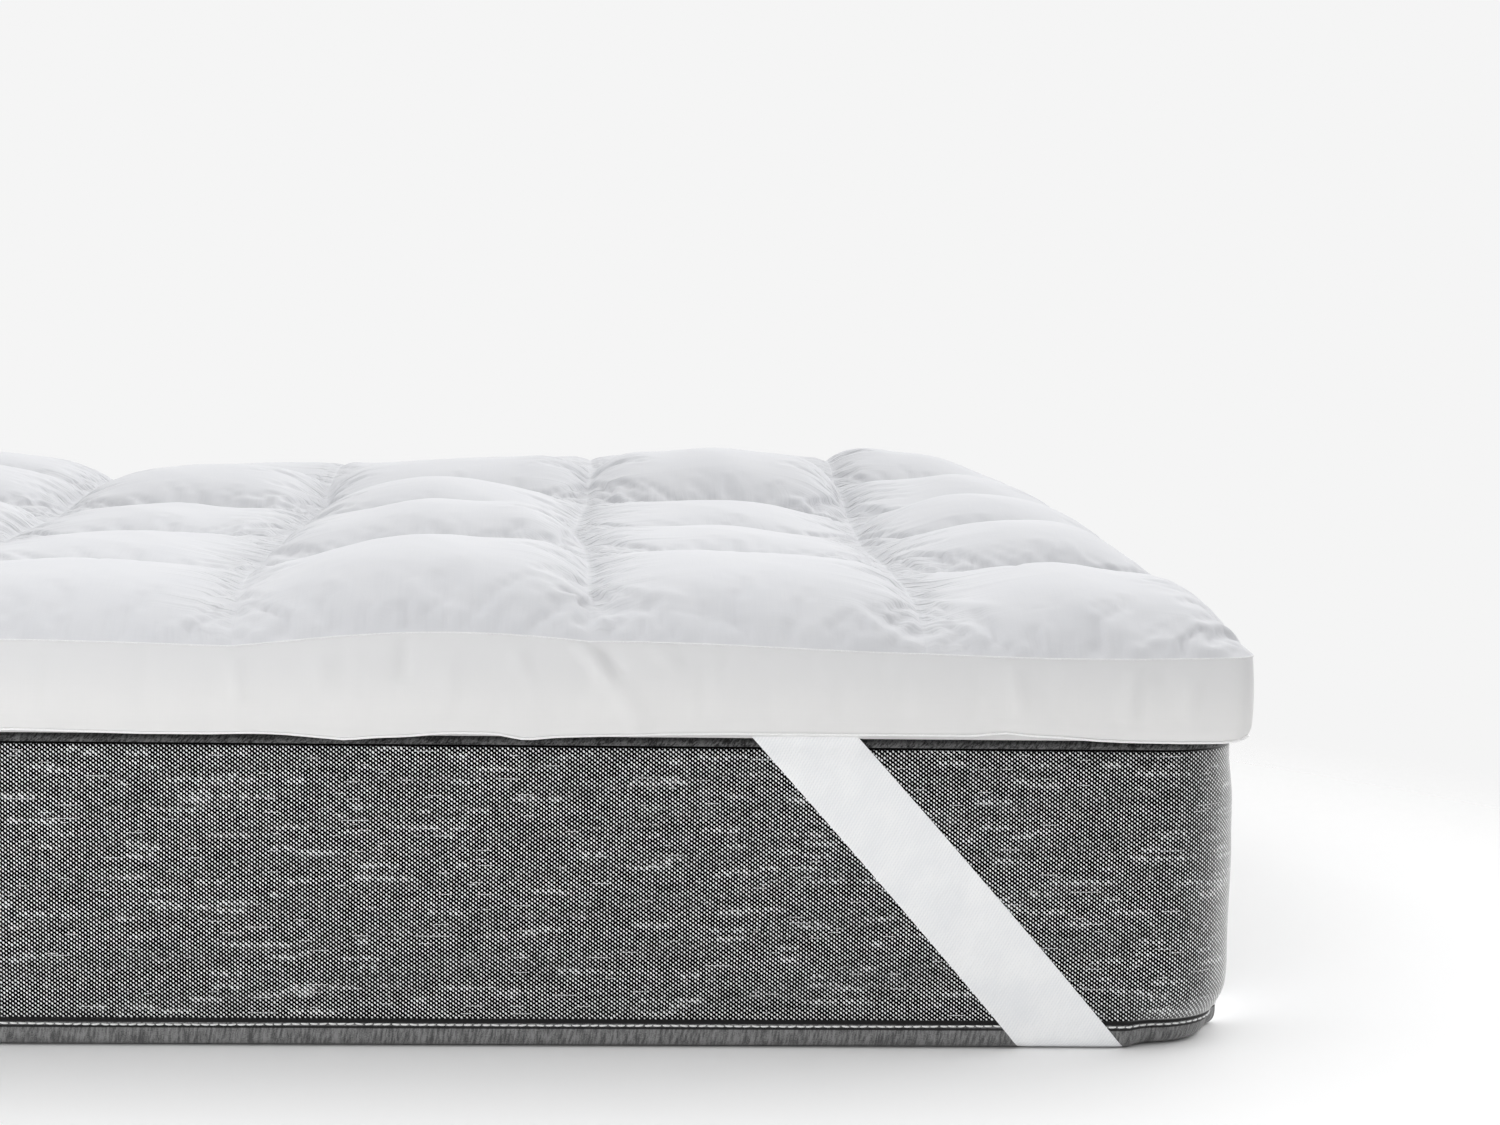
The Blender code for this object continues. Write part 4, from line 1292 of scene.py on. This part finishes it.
def knit_material():
    """Heathered knit: white loops in a staggered lattice on near-black ground, with slubbed runs where loops join."""
    n = Nodes("mattress_knit_side")
    along, v = n.uv()
    u = n.math("MULTIPLY", along, -1.0)
    across, up = 0.0045, 0.00345
    wave_u = n.noise(n.vector(n.math("MULTIPLY", u, 18.0), n.math("MULTIPLY", v, 30.0)), 1.0, 1.0)
    wave_v = n.noise(n.vector(n.math("MULTIPLY", u, 14.0), n.math("MULTIPLY", v, 18.0), 4.0), 1.0, 1.0)
    us = n.math("ADD", u, n.math("MULTIPLY", n.math("SUBTRACT", wave_u, 0.5), 0.0012))
    vs = n.math("ADD", v, n.math("MULTIPLY", n.math("SUBTRACT", wave_v, 0.5), 0.0010))
    cu, cv = n.math("DIVIDE", us, across), n.math("DIVIDE", vs, up)
    loops = None
    for k, (ou, ov) in enumerate(((0.0, 0.0), (0.5, 0.5))):
        pu, pv = n.math("ADD", cu, ou), n.math("ADD", cv, ov)
        iu, iv = n.math("FLOOR", pu), n.math("FLOOR", pv)
        du = n.math("MULTIPLY", n.math("SUBTRACT", n.math("SUBTRACT", pu, iu), 0.5), across * 1000)
        dv = n.math("MULTIPLY", n.math("SUBTRACT", n.math("SUBTRACT", pv, iv), 0.5), up * 1000)
        cell = n.node("ShaderNodeTexWhiteNoise", {"Vector": n.vector(iu, iv, 0.5 + k)}, noise_dimensions="3D").outputs["Value"]
        # Slubs: flat runs of one zigzag course, two neighbouring rows of loops, where the loops are fuller and join.
        slub = n.noise(n.vector(n.math("MULTIPLY", u, 17.0), n.math("MULTIPLY", iv, 7.313), 9.0), 1.0, 1.0, 0.5)
        slubbed, thin = n.steps(slub, 0.615, 0.645), n.steps(slub, 0.42, 0.36)
        size = n.math("ADD", 0.84, n.math("MULTIPLY", cell, 0.30))
        size = n.math("ADD", size, n.math("MULTIPLY", slubbed, n.math("ADD", 0.11, n.math("MULTIPLY", cell, 0.22))))
        size = n.math("SUBTRACT", size, n.math("MULTIPLY", thin, 0.05))
        a = n.math("POWER", n.math("DIVIDE", du, LOOP_WIDE), 2.0)
        b = n.math("POWER", n.math("DIVIDE", dv, LOOP_HIGH), 2.0)
        ab = n.math("MULTIPLY", n.math("MULTIPLY", du, dv), 1.32)
        q = n.math("DIVIDE", n.math("ADD", n.math("ADD", a, b), ab), n.math("MULTIPLY", size, size))
        loop = n.steps(q, 1.12, 0.88)
        loops = loop if loops is None else n.math("MAXIMUM", loops, loop)
    # Thin, light cross threads here and there.
    line = n.math("FLOOR", n.math("DIVIDE", vs, 0.00157))
    run = n.noise(n.vector(n.math("MULTIPLY", u, 30.0), n.math("MULTIPLY", line, 0.731), 2.0), 1.0, 1.0)
    in_row = n.math("ABSOLUTE", n.math("SUBTRACT", n.math("FRACT", n.math("DIVIDE", vs, 0.00157)), 0.5))
    cross = n.math("MULTIPLY", n.steps(run, 0.68, 0.71), n.steps(in_row, 0.24, 0.12))
    loops = n.math("MAXIMUM", loops, n.math("MULTIPLY", cross, 0.45))
    yarn = n.noise(n.vector(n.math("MULTIPLY", u, 20.0), n.math("MULTIPLY", v, 60.0), 5.0), 1.0, 3.0)
    light = n.mix(n.steps(yarn, 0.30, 0.60), KNIT_LIGHT_LOW, KNIT_LIGHT)
    # The cloth sinks to dark lines where it is sewn to the bands above and below.
    sunk = n.math("MAXIMUM", n.steps(v, SEAM_HIGH - 0.0016, SEAM_HIGH - 0.0006), n.steps(v, SEAM_LOW + 0.0026, SEAM_LOW + 0.0014))
    loops = n.math("MULTIPLY", loops, n.math("SUBTRACT", 1.0, sunk))
    n.put(n.shader.inputs["Base Color"], n.mix(loops, KNIT_DARK, light))
    n.put(n.shader.inputs["Normal"], n.bump(n.math("MULTIPLY", loops, 0.00025)))
    n.shader.inputs["Roughness"].default_value = 0.95
    n.shader.inputs["Specular IOR Level"].default_value = 0.0
    # Sheen: seen slantwise, the light fibres of the loops hide the ground between them.
    slantwise = n.node("ShaderNodeLayerWeight", {"Blend": 0.5}).outputs["Facing"]
    n.put(n.shader.inputs["Sheen Weight"], n.math("MULTIPLY", n.math("POWER", slantwise, 1.3), 2.4, clamp=True))
    n.shader.inputs["Sheen Roughness"].default_value = 0.55
    return n.mat


LOOP_WIDE, LOOP_HIGH = 0.685, 0.82        # half axes of a loop in millimetres
KNIT_DARK = (0.0015, 0.0015, 0.0017, 1.0)
KNIT_LIGHT = (0.955, 0.967, 0.980, 1.0)
KNIT_LIGHT_LOW = (0.895, 0.908, 0.922, 1.0)


def band_material(name, dark, light, upright, seam):
    """Twill band: charcoal with fine slanting speckle, or grey with upright threads."""
    n = Nodes(name)
    u, v = n.uv()
    slant = n.math("ADD", u, n.math("MULTIPLY", v, 0.15 if upright else 0.9))
    threads = n.noise(n.vector(n.math("MULTIPLY", slant, 460.0), n.math("MULTIPLY", v, 80.0 if upright else 280.0)), 1.0, 1.5, 0.6)
    fine = n.noise(n.vector(n.math("MULTIPLY", u, 900.0), n.math("MULTIPLY", v, 900.0), 3.0), 1.0, 1.0)
    streak = n.noise(n.vector(n.math("MULTIPLY", u, 90.0), n.math("MULTIPLY", v, 6.0), 8.0), 1.0, 2.0)
    tone = n.math("ADD", n.math("MULTIPLY", threads, 0.5), n.math("ADD", n.math("MULTIPLY", fine, 0.25), n.math("MULTIPLY", streak, 0.25)))
    # Dark strip beside the seam, from its one height to the other.
    strip = n.steps(v, seam[0], seam[1])
    if upright:
        # A second dark line runs just under the stitching.
        under = n.math("MULTIPLY", n.steps(v, STITCH_Z - 0.0036, STITCH_Z - 0.0029), n.steps(v, STITCH_Z - 0.0008, STITCH_Z - 0.0014))
        strip = n.math("MAXIMUM", strip, n.math("MULTIPLY", under, 0.95))
    cloth = n.mix(n.steps(tone, 0.38, 0.62), dark, light)
    n.put(n.shader.inputs["Base Color"], n.mix(strip, cloth, (0.012, 0.012, 0.0125, 1.0)))
    n.put(n.shader.inputs["Normal"], n.bump(n.math("MULTIPLY", threads, 0.0003)))
    n.shader.inputs["Roughness"].default_value = 0.85
    n.shader.inputs["Specular IOR Level"].default_value = 0.2
    n.shader.inputs["Sheen Weight"].default_value = 0.2
    return n.mat


def floor_material():
    """Plain pale floor that runs out softly, so that it has no edge."""
    n = Nodes("pale_floor")
    n.shader.inputs["Base Color"].default_value = (0.955, 0.955, 0.955, 1.0)
    n.shader.inputs["Roughness"].default_value = 0.9
    n.shader.inputs["Specular IOR Level"].default_value = 0.0
    place = n.node("ShaderNodeSeparateXYZ", {0: n.node("ShaderNodeTexCoord").outputs["Object"]})
    ahead = n.math("MULTIPLY", n.math("ADD", place.outputs["Y"], 1.0), 0.8)
    far = n.node("ShaderNodeVectorMath", {0: n.vector(place.outputs["X"], ahead)}, operation="LENGTH").outputs["Value"]
    share = n.steps(far, 1.45, 2.1)
    clear = n.node("ShaderNodeBsdfTransparent")
    mix = n.node("ShaderNodeMixShader")
    n.put(mix.inputs[0], share)
    n.put(mix.inputs[1], n.shader.outputs[0])
    n.put(mix.inputs[2], clear.outputs[0])
    n.put(n.out.inputs["Surface"], mix.outputs[0])
    return n.mat


# =====================================================================================================================
# Floor, light and camera
# =====================================================================================================================
BACKDROP = 0.913
# Strength of the studio's light by direction: above, then (middle height, low) for each side.
LIGHT_TOP = 1.03
LIGHT_FRONT, LIGHT_RIGHT, LIGHT_BACK, LIGHT_LEFT = (0.0, 0.0), (2.38, 1.56), (1.38, 1.40), (1.34, 0.54)
RIGHT_TURN = math.radians(20.0)        # the light from the right stands a little towards the back
# Soft boxes: name, place, aim, size (m), power (W), and whether it fills the cloth only, so that the floor keeps its
# soft shadow in front.
SOFT_BOXES = (
    ("front_softbox", (-1.0, -2.8, 0.70), (0.3, -0.7, 0.25), 2.2, 22.0, False),
    ("cloth_softbox", (-0.6, -2.8, 0.60), (0.3, -0.7, 0.20), 2.2, 13.5, True),
)


def build_stage(material):
    steps, size = 24, 6.0
    g = np.linspace(-size, size, steps + 1)
    gx, gy = np.meshgrid(g, g, indexing="ij")
    verts = np.stack([gx, gy, np.full_like(gx, -0.0004)], -1).reshape(-1, 3)
    number = np.arange((steps + 1) ** 2).reshape(steps + 1, steps + 1)
    faces = np.stack([number[:-1, :-1], number[1:, :-1], number[1:, 1:], number[:-1, 1:]], -1).reshape(-1, 4)
    floor = new_mesh("floor", verts, faces, None, [material], smooth=False)


def build_light(cloth):
    world = bpy.data.worlds.new("studio")
    bpy.context.scene.world = world
    world.use_nodes = True
    tree = world.node_tree
    tree.nodes.clear()

    def math_node(op, a, b=0.0):
        node = tree.nodes.new("ShaderNodeMath")
        node.operation = op
        for socket, value in zip(node.inputs, (a, b)):
            if isinstance(value, bpy.types.NodeSocket):
                tree.links.new(value, socket)
            else:
                socket.default_value = value
        return node.outputs[0]

    def smooth(value, lo, hi):
        node = tree.nodes.new("ShaderNodeMapRange")
        node.interpolation_type = "SMOOTHSTEP"
        tree.links.new(value, node.inputs["Value"])
        node.inputs["From Min"].default_value, node.inputs["From Max"].default_value = lo, hi
        return node.outputs["Result"]

    place = tree.nodes.new("ShaderNodeTexCoord").outputs["Generated"]
    axes = tree.nodes.new("ShaderNodeSeparateXYZ")
    tree.links.new(place, axes.inputs[0])
    x, y, z = axes.outputs
    top, above = smooth(z, 0.78, 0.93), smooth(z, 0.38, 0.62)
    middle, low = math_node("SUBTRACT", above, top), math_node("SUBTRACT", 1.0, above)
    flat = math_node("MAXIMUM", math_node("SUBTRACT", 1.0, math_node("MULTIPLY", z, z)), 0.000001)
    total = math_node("MULTIPLY", top, LIGHT_TOP)
    right = math_node("ADD", math_node("MULTIPLY", x, math.cos(RIGHT_TURN)), math_node("MULTIPLY", y, math.sin(RIGHT_TURN)))
    for axis, sign, (mid_power, low_power) in ((y, -1.0, LIGHT_FRONT), (right, 1.0, LIGHT_RIGHT), (y, 1.0, LIGHT_BACK), (x, -1.0, LIGHT_LEFT)):
        towards = math_node("MAXIMUM", math_node("MULTIPLY", axis, sign), 0.0)
        share = math_node("DIVIDE", math_node("MULTIPLY", towards, towards), flat)
        power = math_node("ADD", math_node("MULTIPLY", middle, mid_power), math_node("MULTIPLY", low, low_power))
        total = math_node("ADD", total, math_node("MULTIPLY", share, power))
    total = math_node("MULTIPLY", total, smooth(z, -0.03, 0.0))

    out = tree.nodes.new("ShaderNodeOutputWorld")
    path = tree.nodes.new("ShaderNodeLightPath")
    seen, lit = tree.nodes.new("ShaderNodeBackground"), tree.nodes.new("ShaderNodeBackground")
    seen.inputs["Color"].default_value = (BACKDROP, BACKDROP, BACKDROP, 1.0)
    lit.inputs["Color"].default_value = (1.0, 1.0, 1.0, 1.0)
    seen.inputs["Strength"].default_value = 1.0
    tree.links.new(total, lit.inputs["Strength"])
    mix = tree.nodes.new("ShaderNodeMixShader")
    tree.links.new(path.outputs["Is Camera Ray"], mix.inputs[0])
    tree.links.new(lit.outputs[0], mix.inputs[1])
    tree.links.new(seen.outputs[0], mix.inputs[2])
    tree.links.new(mix.outputs[0], out.inputs["Surface"])
    for name, stand, aim, size, power, only_cloth in SOFT_BOXES:
        light = bpy.data.lights.new(name, "AREA")
        light.shape, light.size, light.energy = "SQUARE", size, power
        obj = bpy.data.objects.new(name, light)
        bpy.context.collection.objects.link(obj)
        obj.location = stand
        obj.rotation_euler = (Vector(stand) - Vector(aim)).to_track_quat("Z", "Y").to_euler()
        obj.visible_camera = False
        if only_cloth:
            lit_cloth = bpy.data.collections.new(name + "_fills")
            for piece in cloth:
                lit_cloth.objects.link(piece)
            obj.light_linking.receiver_collection = lit_cloth


def build_camera():
    right, up, ahead = camera_axes()
    data = bpy.data.cameras.new("camera")
    data.sensor_fit = "HORIZONTAL"
    data.sensor_width = 36.0
    data.lens = 36.0 * CAM_FOCAL_PX / IMAGE_W
    data.clip_start, data.clip_end = 0.05, 100.0
    cam = bpy.data.objects.new("camera", data)
    bpy.context.collection.objects.link(cam)
    turn = Matrix((tuple(right), tuple(up), tuple(-ahead))).transposed().to_4x4()
    cam.matrix_world = Matrix.Translation(Vector(CAM_POS)) @ turn
    bpy.context.scene.camera = cam


# =====================================================================================================================
# Put together
# =====================================================================================================================
materials = {
    "cotton": cotton_material(),
    "gusset": gusset_material(),
    "welt": welt_material("topper_cotton_edge", (0.76, 0.76, 0.77, 1.0), (0.84, 0.84, 0.85, 1.0)),
    # Hem cord painted whiter than the gusset's cloth: a painted highlight along the lower edge.
    "hem": welt_material("topper_cotton_hem", (0.93, 0.93, 0.93, 1.0), (0.98, 0.98, 0.98, 1.0)),
    "thread": thread_material(),
    "strap": strap_material(),
    "knit": knit_material(),
    "low_band": band_material("mattress_lower_band", (0.086, 0.086, 0.087, 1.0), (0.268, 0.268, 0.268, 1.0), True, (0.0192, 0.0198)),
    "high_band": band_material("mattress_upper_band", (0.010, 0.010, 0.0105, 1.0), (0.150, 0.150, 0.151, 1.0), False,
                               (SEAM_HIGH + 0.0010, SEAM_HIGH + 0.0004)),
}

looks = []
for piece in build_topper(materials):
    looks.append(piece)
    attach(piece, "root")
    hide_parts("topper")

for piece in build_mattress(materials):
    looks.append(piece)
    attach(piece, "root")
    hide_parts("mattress")

for name, sx, sy in (("front_right", 1, 1), ("front_left", -1, 1), ("back_right", 1, -1), ("back_left", -1, -1)):
    piece = build_strap("elastic_strap_" + name, sx, sy, [materials["strap"]])
    looks.append(piece)
    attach(piece, "root")
    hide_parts("strap_" + name)

build_stage(floor_material())
build_light(looks)
build_camera()

view = bpy.context.scene.view_settings
view.view_transform = "Standard"
view.look = "None"
view.exposure = 0.0
view.gamma = 1.0
